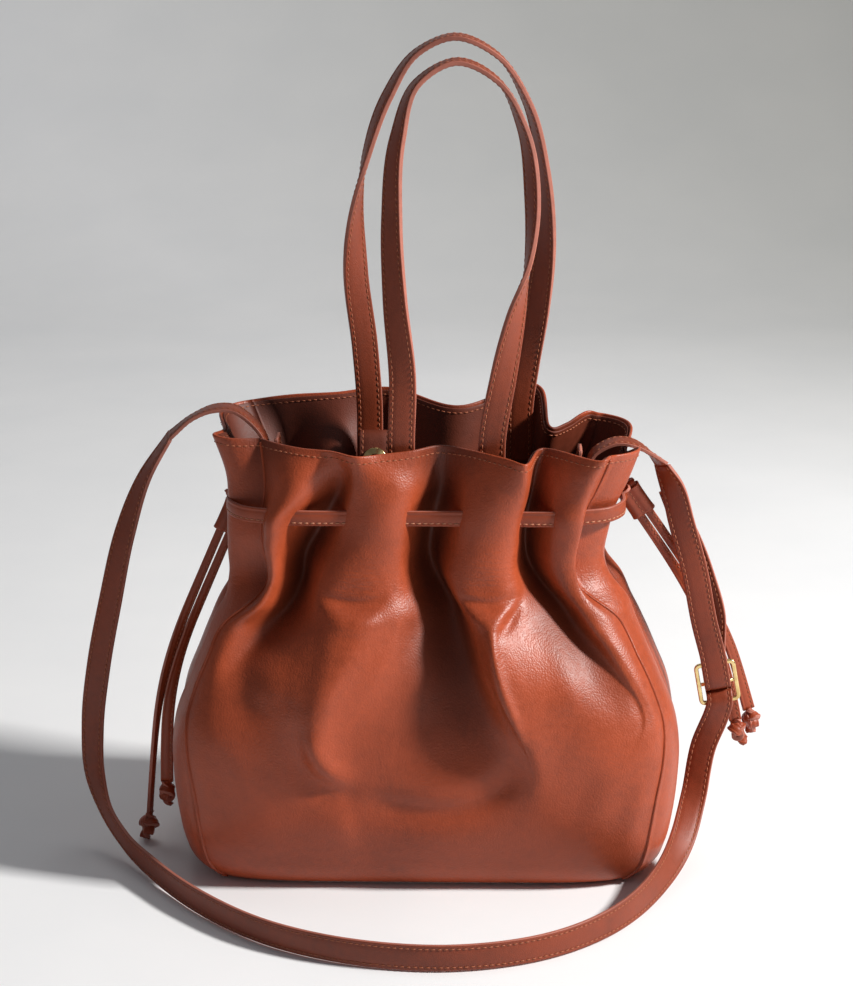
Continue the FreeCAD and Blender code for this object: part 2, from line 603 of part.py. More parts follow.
TAILS = {
    "left_tail_long": [(-132.1, 0, 251.4), (-158.1, 0, 191.8), (-176, -1.5, 148), (-187, -3, 108),
                       (-192.5, -4.5, 64), (-196, -6, 21)],
    "left_tail_short": [(-125.9, 0, 248.6), (-151.9, 0, 189), (-168.5, -4.5, 150), (-178.5, -9, 114),
                        (-182, -10, 80), (-182.5, -10, 47)],
    "right_tail_front": [(133.8, 2, 259.1), (169.2, 14, 205.5), (189, 20, 171), (204.5, 23, 137),
                         (213, 22, 110), (218.5, 20, 84)],
    "right_tail_back": [(139.4, 2, 262.8), (174.8, 14, 209.2), (195.5, 25, 175), (212, 31, 142),
                        (221.5, 32, 114), (229, 31.5, 88)],
}
for name, route in TAILS.items():
    tube(name, route, size("tail_diameter"))
    kind = "low_knot" if name == "left_tail_long" else "knot"
    body = doc.addObject("Part::Cylinder", name + "_knot_blank")
    body.setExpression("Radius", "sizes.%s_radius" % kind)
    body.setExpression("Height", "sizes.%s_height" % kind)
    doc.recompute()
    rounded = doc.addObject("Part::Fillet", name + "_knot")
    rounded.Base = body
    rounding = size(kind + "_radius") - size("tail_diameter") / 2 - 0.2
    rounded.Edges = [(index, rounding, rounding) for index, edge in enumerate(body.Shape.Edges, start=1)
                     if edge.Curve.TypeId == "Part::GeomCircle"]
    end, before = Vector(*route[-1]), Vector(*route[-2])
    rounded.Placement = Placement(end, FreeCAD.Rotation(Vector(0, 0, 1), end - before))
    keep(rounded, name.replace("tail", "knot"))

# Each slider is a sleeve round both tails just below the neck.
for side, first, second in (("left", "left_tail_long", "left_tail_short"),
                            ("right", "right_tail_front", "right_tail_back")):
    a, b = Vector(*TAILS[first][0]), Vector(*TAILS[second][0])
    down = (Vector(*TAILS[first][1]) - a).normalize()
    centre = (a + b) * 0.5 + down * (size("slider_length") / 2 + 0.6)
    body, sketch = body_with_sketch(side + "_slider")
    rectangle(sketch, "outer", "sizes.slider_width", "-sizes.slider_depth / 2", "sizes.slider_depth / 2",
              (16.4, -4.8, 4.8))
    rectangle(sketch, "bore", "sizes.slider_bore_width", "-sizes.slider_bore_depth / 2",
              "sizes.slider_bore_depth / 2", (13.6, -3.4, 3.4))
    doc.recompute()
    sleeve = pad(body, sketch, "sizes.slider_length")
    round_corners(body, sleeve, 7.5, 2.0)
    across = (b - a).normalize()
    body.Placement = placed(tuple(centre), tuple(across), tuple(down.cross(across)))
    keep(body, side + "_slider")

# ---------------------------------------------------------------- checks and export
doc.recompute()
faults = []
for item in doc.Objects:
    if "Invalid" in item.State or "Error" in item.State:
        faults.append(item.Name + " " + ",".join(item.State))
for item in nodes:
    if item.Shape.isNull() or not item.Shape.isValid() or item.Shape.Volume <= 0:
        faults.append(item.Label + " has no valid shape")
if faults:
    raise RuntimeError("; ".join(faults))
for item in nodes:
    item.Shape.exportStep("parts/" + item.Label + ".step")
print(len(nodes), "nodes written")
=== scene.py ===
# %% [markdown]
# # A gathered leather bucket bag
# The bag is soft leather on a flat base. A drawstring gathers its neck, two flat handles rise from
# inside the mouth, and a long buckled strap falls from both sides to the floor.
# The frame that is loaded here holds the working parts. This lesson builds what is seen round them.

# %% Load the frame
import math

import bpy
import numpy as np
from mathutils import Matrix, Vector


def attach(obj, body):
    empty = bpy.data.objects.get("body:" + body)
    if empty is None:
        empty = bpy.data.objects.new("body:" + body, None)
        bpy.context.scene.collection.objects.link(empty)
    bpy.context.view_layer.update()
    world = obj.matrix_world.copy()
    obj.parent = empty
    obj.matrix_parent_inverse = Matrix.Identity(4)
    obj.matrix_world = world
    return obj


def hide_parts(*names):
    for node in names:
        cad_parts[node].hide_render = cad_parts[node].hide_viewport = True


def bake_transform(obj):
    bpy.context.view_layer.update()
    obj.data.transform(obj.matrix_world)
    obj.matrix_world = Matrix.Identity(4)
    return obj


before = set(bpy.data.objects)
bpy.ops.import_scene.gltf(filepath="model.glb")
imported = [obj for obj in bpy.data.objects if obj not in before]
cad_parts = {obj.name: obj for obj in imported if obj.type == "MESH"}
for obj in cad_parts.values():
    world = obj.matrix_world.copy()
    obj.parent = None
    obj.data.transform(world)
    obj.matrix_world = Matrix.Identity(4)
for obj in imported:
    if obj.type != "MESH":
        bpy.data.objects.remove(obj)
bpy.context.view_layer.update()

# %% [markdown]
# ## Camera first
# The bag is seen from a little above and almost straight on, through a long lens that keeps its
# sides upright. A long lens could be a large focal length or a far camera: here it is both, so the
# picture has little perspective. The camera looks at a point below the drawstring.

# %% Camera
camera_data = bpy.data.cameras.new("camera")
camera_data.lens = 91
camera_data.sensor_width = 36
camera = bpy.data.objects.new("camera", camera_data)
bpy.context.scene.collection.objects.link(camera)
aim = Vector((0, 0, 0.257))
camera.location = (0.0284, -1.6255, 0.754)
camera.rotation_mode = "QUATERNION"
camera.rotation_quaternion = (aim - camera.location).to_track_quat("-Z", "Y")
bpy.context.scene.camera = camera
print("camera to bag:", round((aim - camera.location).length, 3), "m")

# %% [markdown]
# ## Two tools for smooth lines
# Almost every piece here is a strip or a sheet that bends, so one helper draws a smooth line through
# a few given points. A Blender curve object could do it, but with plain arrays the same
# line can also carry a width, a twist or a depth. The sizes below are typed in millimetres, as a
# pattern maker would, and MM turns them into Blender's metres.

# %% Smooth lines through chosen points
MM = 0.001


def smooth(marks, values, at):
    """Values at any place on a smooth line that passes through values at marks."""
    marks, values = np.asarray(marks, float), np.asarray(values, float)
    at = np.clip(np.asarray(at, float), marks[0], marks[-1])
    slopes = np.gradient(values, marks, axis=0)
    left = np.clip(np.searchsorted(marks, at, side="right") - 1, 0, len(marks) - 2)
    gap = marks[left + 1] - marks[left]
    part = (at - marks[left]) / gap
    shape = (...,) + (None,) * (values.ndim - 1)
    part, gap = part[shape], gap[shape]
    return (values[left] * (2 * part ** 3 - 3 * part ** 2 + 1)
            + slopes[left] * gap * (part ** 3 - 2 * part ** 2 + part)
            + values[left + 1] * (3 * part ** 2 - 2 * part ** 3)
            + slopes[left + 1] * gap * (part ** 3 - part ** 2))


def lengths_along(points):
    """How far along the line each of its points lies."""
    steps = np.linalg.norm(np.diff(points, axis=0), axis=1)
    return np.concatenate([[0.0], np.cumsum(steps)])


def unit(vectors):
    return vectors / np.maximum(np.linalg.norm(vectors, axis=-1, keepdims=True), 1e-12)


# %% [markdown]
# ## Tools for meshes
# A panel is a grid of points, and a strap is a small outline carried along a line. Both give rows
# of points, so one helper turns rows into faces. Each face is a quad, which stays smooth.

# %% Meshes from rows of points
def row_faces(rows, columns, ring=False, first=0):
    """Quads between rows of points; ring joins the last column to the first."""
    faces = []
    for row in range(rows - 1):
        for column in range(columns if ring else columns - 1):
            after = (column + 1) % columns
            low, high = first + row * columns, first + (row + 1) * columns
            faces.append((low + column, low + after, high + after, high + column))
    return faces


def joined(parts):
    """Points and faces of several closed shapes in one mesh."""
    points, faces = [], []
    for rows, shape_faces in parts:
        first = sum(len(p) for p in points)
        points.append(rows.reshape(-1, 3))
        faces += [tuple(first + k for k in face) for face in shape_faces]
    return np.concatenate(points), faces


def make_piece(name, points, faces, materials, body=None, face_materials=None):
    """A smooth-shaded mesh object that may ride on a body straight away."""
    mesh = bpy.data.meshes.new(name)
    mesh.from_pydata([tuple(p) for p in np.asarray(points, float)], [], faces)
    for material in materials:
        mesh.materials.append(material)
    if face_materials is not None:
        mesh.polygons.foreach_set("material_index", face_materials)
    mesh.polygons.foreach_set("use_smooth", [True] * len(faces))
    mesh.update()
    piece = bpy.data.objects.new(name, mesh)
    bpy.context.scene.collection.objects.link(piece)
    if body:
        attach(piece, body)
    return piece


def paint(piece, name, values):
    """Keeps one number per point on the mesh, for a material to read."""
    layer = piece.data.attributes.new(name, "FLOAT", "POINT")
    layer.data.foreach_set("value", np.asarray(values, np.float32).ravel())


# %% [markdown]
# ## Leather
# The hide is a smooth reddish tan with a fine pebbled grain. Under a side light the grain sparkles on
# the ridges and dies in the folds. An image could show this, but a pattern worked out from
# position has no seams and stays sharp close up. Cells make the pebbles, soft noise makes the
# cloudy colour, and two stretched noises make fine creases where the mesh says the hide is creased.
# On the panels the colour is also darkened in the deep valleys: painted shade.

# %% Leather material
def add(tree, kind, inputs=None, **settings):
    """One node, with its settings and its inputs, which are numbers or other nodes' outputs."""
    node = tree.nodes.new(kind)
    for name, value in settings.items():
        setattr(node, name, value)
    for socket, value in (inputs or {}).items():
        if isinstance(value, bpy.types.NodeSocket):
            tree.links.new(value, node.inputs[socket])
        else:
            node.inputs[socket].default_value = value
    return node


def maths(tree, operation, first, second=0.0):
    return add(tree, "ShaderNodeMath", {0: first, 1: second}, operation=operation).outputs[0]


def new_material(name):
    material = bpy.data.materials.new(name)
    material.use_nodes = True
    tree = material.node_tree
    tree.nodes.clear()
    shader = add(tree, "ShaderNodeBsdfPrincipled")
    output = add(tree, "ShaderNodeOutputMaterial")
    tree.links.new(shader.outputs[0], output.inputs[0])
    return material, tree, shader


def wire(tree, shader, tint, rough, height, strength, distance):
    """Leads colour, roughness and a bump into the shader."""
    bump = add(tree, "ShaderNodeBump", {"Strength": strength, "Distance": distance, "Height": height})
    tree.links.new(tint, shader.inputs["Base Color"])
    tree.links.new(rough, shader.inputs["Roughness"])
    tree.links.new(bump.outputs[0], shader.inputs["Normal"])


def ramp(tree, value, stops):
    node = add(tree, "ShaderNodeValToRGB", {0: value})
    points = node.color_ramp.elements
    while len(points) < len(stops):
        points.new(0.5)
    for point, (place, colour) in zip(points, stops):
        point.position = place
        point.color = (*colour, 1)
    return node.outputs[0]


def shade(colour, by):
    return tuple(channel * by for channel in colour)


def leather(name, colour, grain=1250, depth=0.35, gloss=0.4, folds=False):
    """Grained hide; with folds it also reads what the panel meshes say about creases and valleys, and paints
    shade into the deep valleys.
    """
    material, tree, shader = new_material(name)
    place = add(tree, "ShaderNodeTexCoord").outputs["Object"]
    clouds = add(tree, "ShaderNodeTexNoise",
                 {"Vector": place, "Scale": 14, "Detail": 4, "Roughness": 0.6}).outputs[0]
    mottle = add(tree, "ShaderNodeTexNoise", {"Vector": place, "Scale": 210, "Detail": 3}).outputs[0]
    pebbles = add(tree, "ShaderNodeTexVoronoi", {"Vector": place, "Scale": grain, "Smoothness": 0.6},
                  feature="SMOOTH_F1").outputs["Distance"]
    tone = maths(tree, "ADD", maths(tree, "MULTIPLY", clouds, 0.7), maths(tree, "MULTIPLY", mottle, 0.3))
    tint = ramp(tree, tone, [(0.32, shade(colour, 0.74)), (0.5, colour), (0.68, shade(colour, 1.18))])
    height = maths(tree, "MULTIPLY", pebbles, -0.9)
    height = maths(tree, "ADD", height, maths(tree, "MULTIPLY", mottle, 0.55))
    rough = maths(tree, "ADD", maths(tree, "MULTIPLY", mottle, 0.16), gloss - 0.02)
    if folds:
        valley_shade = add(tree, "ShaderNodeAttribute", attribute_name="valley_shade").outputs["Fac"]
        level_creases = add(tree, "ShaderNodeAttribute", attribute_name="level_creases").outputs["Fac"]
        upright_creases = add(tree, "ShaderNodeAttribute", attribute_name="upright_creases").outputs["Fac"]
        for mask, stretch in ((level_creases, (90, 90, 520)), (upright_creases, (520, 520, 70))):
            squeezed = add(tree, "ShaderNodeMapping", {"Vector": place, "Scale": stretch}).outputs[0]
            lines = add(tree, "ShaderNodeTexNoise", {"Vector": squeezed, "Scale": 1, "Detail": 2}).outputs[0]
            lines = maths(tree, "MULTIPLY", lines, mask)
            height = maths(tree, "ADD", height, maths(tree, "MULTIPLY", lines, 3.4))
        rough = maths(tree, "ADD", rough, maths(tree, "MULTIPLY", valley_shade, 0.14))
        # painted shade: the hide's colour is mixed towards a near-black copy as the valley deepens
        valley_shade_mix = add(tree, "ShaderNodeMix", {"Factor": maths(tree, "MULTIPLY", valley_shade, 0.8), 6: tint,
                                           7: (*shade(colour, 0.22), 1)}, data_type="RGBA")
        tint = valley_shade_mix.outputs[2]
    wire(tree, shader, tint, rough, height, depth, 0.0003)
    shader.inputs["Specular IOR Level"].default_value = 0.42
    return material


TAN = (0.335, 0.056, 0.017)
bag_leather = leather("bag_leather", TAN, grain=820, depth=0.62, gloss=0.37, folds=True)
# the facing leather is the bag's hide at about a third of its brightness: painted shade for the dark inside
# of the mouth
facing_leather = leather("facing_leather", shade(TAN, 0.36), gloss=0.52)
strap_leather = leather("strap_leather", shade(TAN, 0.62), grain=1300, depth=0.32, gloss=0.4)
lace_leather = leather("lace_leather", shade(TAN, 0.82), grain=1700, depth=0.28, gloss=0.4)
cut_edge = leather("cut_edge", (0.38, 0.125, 0.085), grain=2600, depth=0.35, gloss=0.5)
print("leathers:", [m.name for m in bpy.data.materials if "leather" in m.name])

# %% [markdown]
# ## Brass, thread, cloth and board
# Polished brass has faint brushing from the wheel. The thread is waxed and twisted, so it is slanted
# ridges along each stitch. The lining is a plain weave: two sets of waves crossing at right angles.

# %% Other materials
def brass(name):
    material, tree, shader = new_material(name)
    place = add(tree, "ShaderNodeTexCoord").outputs["Object"]
    squeezed = add(tree, "ShaderNodeMapping", {"Vector": place, "Scale": (1800, 1800, 260)}).outputs[0]
    brushing = add(tree, "ShaderNodeTexNoise", {"Vector": squeezed, "Scale": 1, "Detail": 2}).outputs[0]
    tarnish = add(tree, "ShaderNodeTexNoise", {"Vector": place, "Scale": 160, "Detail": 4}).outputs[0]
    tint = ramp(tree, tarnish, [(0.3, (0.58, 0.40, 0.16)), (0.7, (0.83, 0.64, 0.31))])
    rough = maths(tree, "ADD", maths(tree, "MULTIPLY", tarnish, 0.2), 0.14)
    wire(tree, shader, tint, rough, brushing, 0.12, 0.0001)
    shader.inputs["Metallic"].default_value = 1.0
    return material


def thread(name, colour):
    material, tree, shader = new_material(name)
    place = add(tree, "ShaderNodeTexCoord").outputs["Object"]
    twist = add(tree, "ShaderNodeTexWave", {"Vector": place, "Scale": 900, "Distortion": 1.5},
                bands_direction="DIAGONAL").outputs["Fac"]
    tint = ramp(tree, twist, [(0.1, shade(colour, 0.72)), (0.8, shade(colour, 1.15))])
    rough = maths(tree, "ADD", maths(tree, "MULTIPLY", twist, -0.12), 0.62)
    wire(tree, shader, tint, rough, twist, 0.4, 0.0001)
    return material


def woven(name, colour):
    material, tree, shader = new_material(name)
    place = add(tree, "ShaderNodeTexCoord").outputs["Object"]
    warp = add(tree, "ShaderNodeTexWave", {"Vector": place, "Scale": 420, "Distortion": 0.6},
               bands_direction="X").outputs["Fac"]
    weft = add(tree, "ShaderNodeTexWave", {"Vector": place, "Scale": 420, "Distortion": 0.6},
               bands_direction="Z").outputs["Fac"]
    weave = maths(tree, "MULTIPLY", warp, weft)
    slub = add(tree, "ShaderNodeTexNoise", {"Vector": place, "Scale": 90, "Detail": 3}).outputs[0]
    tone = maths(tree, "ADD", maths(tree, "MULTIPLY", weave, 0.5), maths(tree, "MULTIPLY", slub, 0.5))
    tint = ramp(tree, tone, [(0.2, shade(colour, 0.7)), (0.8, shade(colour, 1.2))])
    rough = maths(tree, "ADD", maths(tree, "MULTIPLY", slub, 0.1), 0.8)
    wire(tree, shader, tint, rough, weave, 0.5, 0.0002)
    return material


brass_metal = brass("brass")
tan_thread = thread("tan_thread", (0.34, 0.095, 0.038))
pale_thread = thread("pale_thread", (0.50, 0.20, 0.11))
lining_cloth = woven("lining_cloth", (0.10, 0.045, 0.025))
board_grey = woven("board_grey", (0.16, 0.12, 0.09))
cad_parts["base_board"].data.materials.clear()
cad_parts["base_board"].data.materials.append(board_grey)
print("materials:", len(bpy.data.materials))

# %% [markdown]
# ## The body without its folds
# Before it is gathered, the bag is a rounded box that flares from its base, bellies out low down and
# comes in to the neck. Each level is a squared oval: half its length, half its depth, how square
# its corners are, and how far it leans to the right. The two side seams run up near its corners.

# %% Levels of the body, in millimetres
LEVELS = np.array([
    (0.4, 144, 71, 6.0, 0), (2, 149.5, 75.5, 6.0, 0), (6, 155.5, 80, 6.0, 0), (13, 161.5, 84, 6.0, 0),
    (25, 166, 88, 6.0, 0), (45, 169.5, 92.5, 6.0, 0), (70, 171.8, 95.5, 5.6, 0), (92, 172, 96, 5.4, 0),
    (114, 168.5, 94.5, 5.1, 0), (134, 160.5, 90.5, 4.9, 0), (150, 153.5, 86, 4.7, 0),
    (164, 146.5, 80.5, 4.5, 0),
    (178, 139, 74, 4.3, 0), (193, 131.5, 66, 4.1, 1), (206, 126, 58.5, 4.0, -3), (220, 124, 54, 4.0, -6),
    (240, 125.5, 52, 4.0, -5), (256, 128, 52.5, 4.0, -3), (272, 132, 54, 4.0, 0), (300, 141, 56, 4.0, 0)],
    float)
SEAM_SHARE = np.array([(0.4, 0.90), (70, 0.91), (100, 0.94), (124, 0.962), (160, 0.955), (185, 0.94),
                       (205, 0.85),
                       (240, 0.84), (300, 0.84)])
TOP_LEVEL, RIM_START = 300.0, 252.0


def level_shape(z):
    """Half length, half depth, corner power and lean at some heights."""
    return smooth(LEVELS[:, 0], LEVELS[:, 1:], z).T


def plain_wall(place, z, broad, sign):
    """Points and outward directions on the ungathered wall: place runs along x, or along y on a gusset."""
    half_x, half_y, power, lean = level_shape(z)
    own, other = (half_x, half_y) if broad else (half_y, half_x)
    share = np.clip(np.abs(place) / own, 0, 0.999)
    away = other * (1 - share ** power) ** (1 / power)
    slope_own = np.sign(place) * share ** (power - 1) / own
    slope_away = (away / other) ** (power - 1) / other
    along, out = (place, sign * away) if broad else (sign * away, place)
    side_x, side_y = (slope_own, sign * slope_away) if broad else (sign * slope_away, slope_own)
    outward = unit(np.stack([side_x, side_y, np.zeros_like(side_x)], -1))
    return np.stack([along + lean, out, np.broadcast_to(z, along.shape)], -1), outward


half_x, half_y, power, lean = level_shape(np.array([TOP_LEVEL]))
print("rim before gathering: %.0f x %.0f mm" % (2 * half_x[0], 2 * half_y[0]))

# %% [markdown]
# ## Gathers as fold lines
# Pulling the drawstring makes the leather stand out in pipes with deep valleys between. Cloth
# simulation can gather a neck, but it puts the pipes where it likes. Here each crest, edge and
# valley is drawn as a line up the panel: its height, its place across, and how far it stands out
# from the plain wall. The panel is then a smooth surface through all its fold lines.

# %% Fold lines of the front panel: (height, place across, how far out)
FRONT_LINES = [
    [(0, -128, 0), (90, -140, 0), (140, -144, 1), (165, -134, 3), (182, -123, 5), (196, -107, 7),
     (212, -95, 8),
     (240, -93, 13), (256, -93, 14), (268, -88, 10), (285, -86, 2), (300, -84, -9)],
    [(0, -100, 0), (90, -112, 0), (130, -116, -3), (158, -121, -8), (176, -110, -14), (192, -96, -20),
     (207, -84, -24), (225, -77, -24), (240, -70, -22), (258, -63, -17), (275, -59, -11), (290, -58, -5),
     (300, -63, -4)],
    [(0, -78, 0), (90, -84, 1), (110, -86, 3), (128, -86, 5), (153, -81, 6), (179, -75, 5), (200, -71, 4),
     (217, -64, 3), (240, -53, 3), (258, -50, 3), (275, -47, 4), (290, -45, 4), (300, -46, 5)],
    [(0, -55, 0), (60, -58, 0), (90, -66, 3), (115, -70, 8), (134, -68, 10), (160, -61, 12), (180, -56, 13),
     (196, -52, 12), (204, -50, 10), (217, -43, 12), (240, -31, 12), (260, -27, 11), (280, -25, 6),
     (300, -30, -2)],
    [(0, -34, 0), (90, -40, -3), (120, -44, -2), (147, -43, 3), (165, -37, 6), (182, -29, 7), (200, -19, 6),
     (216, -12, 5), (240, -9, 5), (258, -9, 3), (275, -9, 0), (290, -9, -6), (300, -7, -8)],
    [(0, 10, 0), (60, 18, 0), (80, 26, -3), (100, 30, -9), (125, 28, -15), (150, 24, -20), (175, 19, -25),
     (197, 14, -28), (222, 9, -29), (240, 9, -28), (258, 10, -26), (277, 10, -22), (300, 10, -20)],
    [(0, 50, 0), (60, 62, 0), (85, 68, 1), (101, 65, 2), (128, 54, 4), (153, 42, 4), (179, 34, 4),
     (196, 26, 4),
     (212, 22, 4), (240, 26, 4), (260, 27, 3), (275, 28, 0), (290, 29, -6), (300, 28, -12)],
    [(0, 70, 0), (60, 74, 0), (88, 76, 2), (115, 68, 7), (141, 55, 10), (166, 48, 13), (184, 45, 14),
     (197, 44, 11),
     (206, 44, 10), (225, 46, 13), (244, 47, 13), (272, 48, 12), (290, 50, 9), (300, 52, 6)],
    [(0, 88, 0), (90, 92, 0), (120, 90, 1), (150, 78, 4), (175, 65, 5), (189, 58, 5), (203, 62, 6),
     (229, 65, 6),
     (250, 65, 7), (271, 65, 9), (290, 66, 13), (300, 66, 15)],
    [(0, 108, 0), (90, 122, 0), (125, 138, -3), (144, 128, -8), (162, 115, -12), (177, 104, -16),
     (195, 90, -20),
     (216, 79, -23), (240, 74, -22), (258, 73, -20), (275, 72, -16), (290, 74, -15), (300, 77, -14)],
    [(0, 125, 0), (90, 138, 0), (125, 148, 0), (152, 134, 1), (173, 119, 2), (190, 104, 2), (208, 93, 2),
     (241, 88, 6), (256, 88, 8), (268, 86, 3), (290, 86, -5), (300, 89, -7)],
    [(0, 133, 0), (90, 148, 0), (121, 154, 1), (140, 146, 2), (156, 138, 3), (180, 122, 5), (201, 106, 7),
     (228, 102, 10),
     (255, 102, 14), (270, 101, 12), (290, 105, 13), (300, 110, 14)],
]
FRONT_RIM = [302, 301, 300, 299, 299, 300, 300, 300, 299, 297, 299, 300, 298, 299]
print("front fold lines:", len(FRONT_LINES))

# %% Fold lines of the back panel and the gussets
BACK_LINES = [
    [(0, -110, 0), (90, -120, 0), (140, -118, 2), (175, -106, 7), (205, -95, 10), (240, -91, 10),
     (270, -92, 11),
     (300, -94, 13)],
    [(0, -70, 0), (90, -78, -1), (140, -74, -5), (175, -69, -11), (205, -65, -15), (240, -63, -16),
     (270, -63, -9),
     (285, -63, 2), (300, -64, 9)],
    [(0, -38, 0), (90, -42, 1), (140, -40, 5), (175, -37, 9), (205, -34, 12), (240, -34, 12), (270, -30, 12),
     (300, -25, 12)],
    [(0, 10, 0), (90, 10, -2), (140, 12, -6), (175, 14, -12), (205, 14, -17), (240, 14, -18), (270, 17, -17),
     (300, 21, -14)],
    [(0, 50, 0), (90, 56, 1), (140, 58, 5), (175, 60, 9), (205, 56, 12), (240, 54, 12), (270, 57, 12),
     (300, 63, 13)],
    [(0, 66, 0), (90, 72, 0), (140, 73, 1), (175, 72, 2), (205, 69, 3), (240, 68, 4), (270, 73, 6),
     (300, 80, 7)],
    [(0, 84, 0), (90, 96, -1), (140, 90, -4), (175, 84, -9), (205, 80, -13), (240, 79, -15), (270, 81, -22),
     (290, 85, -33), (300, 88, -38)],
    [(0, 100, 0), (90, 116, 0), (140, 108, -1), (175, 97, 0), (205, 89, 0), (240, 88, -2), (270, 91, -10),
     (290, 97, -22), (300, 100, -27)],
    [(0, 115, 0), (90, 135, 0), (140, 124, 2), (175, 108, 5), (205, 97, 8), (240, 96, 8), (270, 101, 4),
     (300, 110, -2)],
]
BACK_RIM = [305, 308, 310, 313, 307, 315, 314, 301, 300, 302, 300]
# On a gusset the place across is a share of its half width, and the middle folds in as a crease.
LEFT_LINES = [
    [(0, -0.5, 0), (90, -0.5, 2), (140, -0.5, 2), (175, -0.5, 4), (205, -0.5, 5), (240, -0.5, 5),
     (270, -0.5, 3),
     (300, -0.5, 2)],
    [(0, 0, 1), (90, 0, 2), (140, 0, -3), (175, 0, -9), (205, 0, -12), (240, 0, -12), (270, 0, -9),
     (300, 0, -3)],
    [(0, 0.5, 0), (90, 0.5, 2), (140, 0.5, 2), (175, 0.5, 4), (205, 0.5, 5), (240, 0.5, 5), (270, 0.5, 4),
     (300, 0.5, 3)],
]
RIGHT_LINES = [
    [(0, -0.5, 0), (90, -0.5, 2), (140, -0.5, 2), (175, -0.5, 3), (205, -0.5, 4), (240, -0.5, 4),
     (270, -0.5, 3),
     (300, -0.5, 3)],
    [(0, 0, 1), (90, 0, 2), (140, 0, -3), (175, 0, -8), (205, 0, -10), (240, 0, -9), (270, 0, -8),
     (300, 0, -5)],
    [(0, 0.5, 0), (90, 0.5, 2), (140, 0.5, 2), (175, 0.5, 3), (205, 0.5, 4), (240, 0.5, 4), (270, 0.5, 2),
     (300, 0.5, 1)],
]
LEFT_RIM = [302, 303, 301, 304, 305]
RIGHT_RIM = [299, 296, 287, 297, 300]
# How far each side seam stands out: (height, front left, front right, back left, back right)
SEAM_OUT = np.array([(0.4, 0, 0, 0, 0), (120, 0, 0, 0, 0), (150, 3, 1, 1, 1), (178, 6, 2, 2, 2),
                     (192, 5, 3, 2, 2),
                     (206, -7, 0, 0, 0), (240, -2, 0, 0, 0), (270, -9, 3, 5, 2), (300, -22, 10, 15, 3)])
SEAM_COLUMN = {("front", 0): 1, ("front", 1): 2, ("back", 0): 3, ("back", 1): 4,
               ("left", 0): 1, ("left", 1): 3, ("right", 0): 2, ("right", 1): 4}
print("back fold lines:", len(BACK_LINES), "gusset fold lines:", len(LEFT_LINES))

# %% [markdown]
# ## From fold lines to a surface
# Every row of the grid passes through the fold lines at its own height. Columns follow the folds, so
# the faces bend with the leather and no crease is cut across. The rim is not level, so the rows near
# the top are stretched up or down to meet it.

# %% A panel's grid of points
ROW_LEVELS = np.concatenate([np.array([0.4, 1.2, 2.4, 4, 6, 8.5]), np.linspace(11, 188, 88),
                             np.linspace(190, 300, 70)])
COLUMNS_PER_GAP = 14


def seam_place(z, broad):
    """Where the side seams lie: x for a broad panel, y for a gusset."""
    half_x, half_y, power, lean = level_shape(z)
    share = smooth(SEAM_SHARE[:, 0], SEAM_SHARE[:, 1], z)
    return half_x * share if broad else half_y * (1 - share ** power) ** (1 / power)


def panel_grid(side, lines, rim):
    """Points, plain outward directions and fold depth for one panel, rows from the base up."""
    broad = side in ("front", "back")
    sign = -1 if side in ("front", "left") else 1
    count = len(lines) + 2
    stops = np.arange(count)
    across = np.linspace(0, count - 1, (count - 1) * COLUMNS_PER_GAP + 1)
    rim_line = smooth(stops, rim, across)
    rows, outs, ways = [], [], []
    for z in ROW_LEVELS:
        seam = float(seam_place(np.array([z]), broad)[0])
        chosen = [smooth([p[0] for p in line], [p[1:] for p in line], np.array([z]))[0] for line in lines]
        scale = 1.0 if broad else seam
        edge_out = smooth(SEAM_OUT[:, 0], SEAM_OUT[:, 1:], np.array([z]))[0]
        places = [-seam] + [c[0] * scale for c in chosen] + [seam]
        fold = [edge_out[SEAM_COLUMN[side, 0] - 1]] + [c[1] for c in chosen] + [edge_out[SEAM_COLUMN[side,
                                                                                                     1] - 1]]
        place, out = smooth(stops, np.stack([places, fold], 1), across).T
        place = np.clip(place, -seam, seam)
        points, outward = plain_wall(place, np.full(place.shape, z), broad, sign)
        points = points + outward * out[:, None]
        lift = np.clip((z - RIM_START) / (TOP_LEVEL - RIM_START), 0, 1)
        points[:, 2] += (rim_line - TOP_LEVEL) * lift * lift * (3 - 2 * lift)
        rows.append(points)
        outs.append(out)
        ways.append(outward)
    return np.array(rows), np.array(ways), np.array(outs)


def relax(grid, times):
    """Evens a grid out a little, leaving its borders where they are."""
    grid = grid.copy()
    for _ in range(times):
        grid[1:-1, 1:-1] += 0.5 * ((grid[:-2, 1:-1] + grid[2:, 1:-1] + grid[1:-1, :-2] + grid[1:-1, 2:]) / 4
                                   - grid[1:-1, 1:-1])
    return grid


SIDES = {"front": (FRONT_LINES, FRONT_RIM), "back": (BACK_LINES, BACK_RIM),
         "left": (LEFT_LINES, LEFT_RIM), "right": (RIGHT_LINES, RIGHT_RIM)}
grids, plain_ways, fold_depths = {}, {}, {}
for side, (lines, rim) in SIDES.items():
    grids[side], plain_ways[side], fold_depths[side] = panel_grid(side, lines, rim)
    print(side, "grid:", grids[side].shape[:2])

# %% [markdown]
# ## Pressing in the smaller folds
# Soft leather also breaks where a pipe meets the belly: a short ledge like the back of a knee, a
# pinch, a dent. These are pressed into the grid like a thumb into clay. Each press is a path over
# the panel with a width on either side and a depth, and it fades away smoothly from the path.

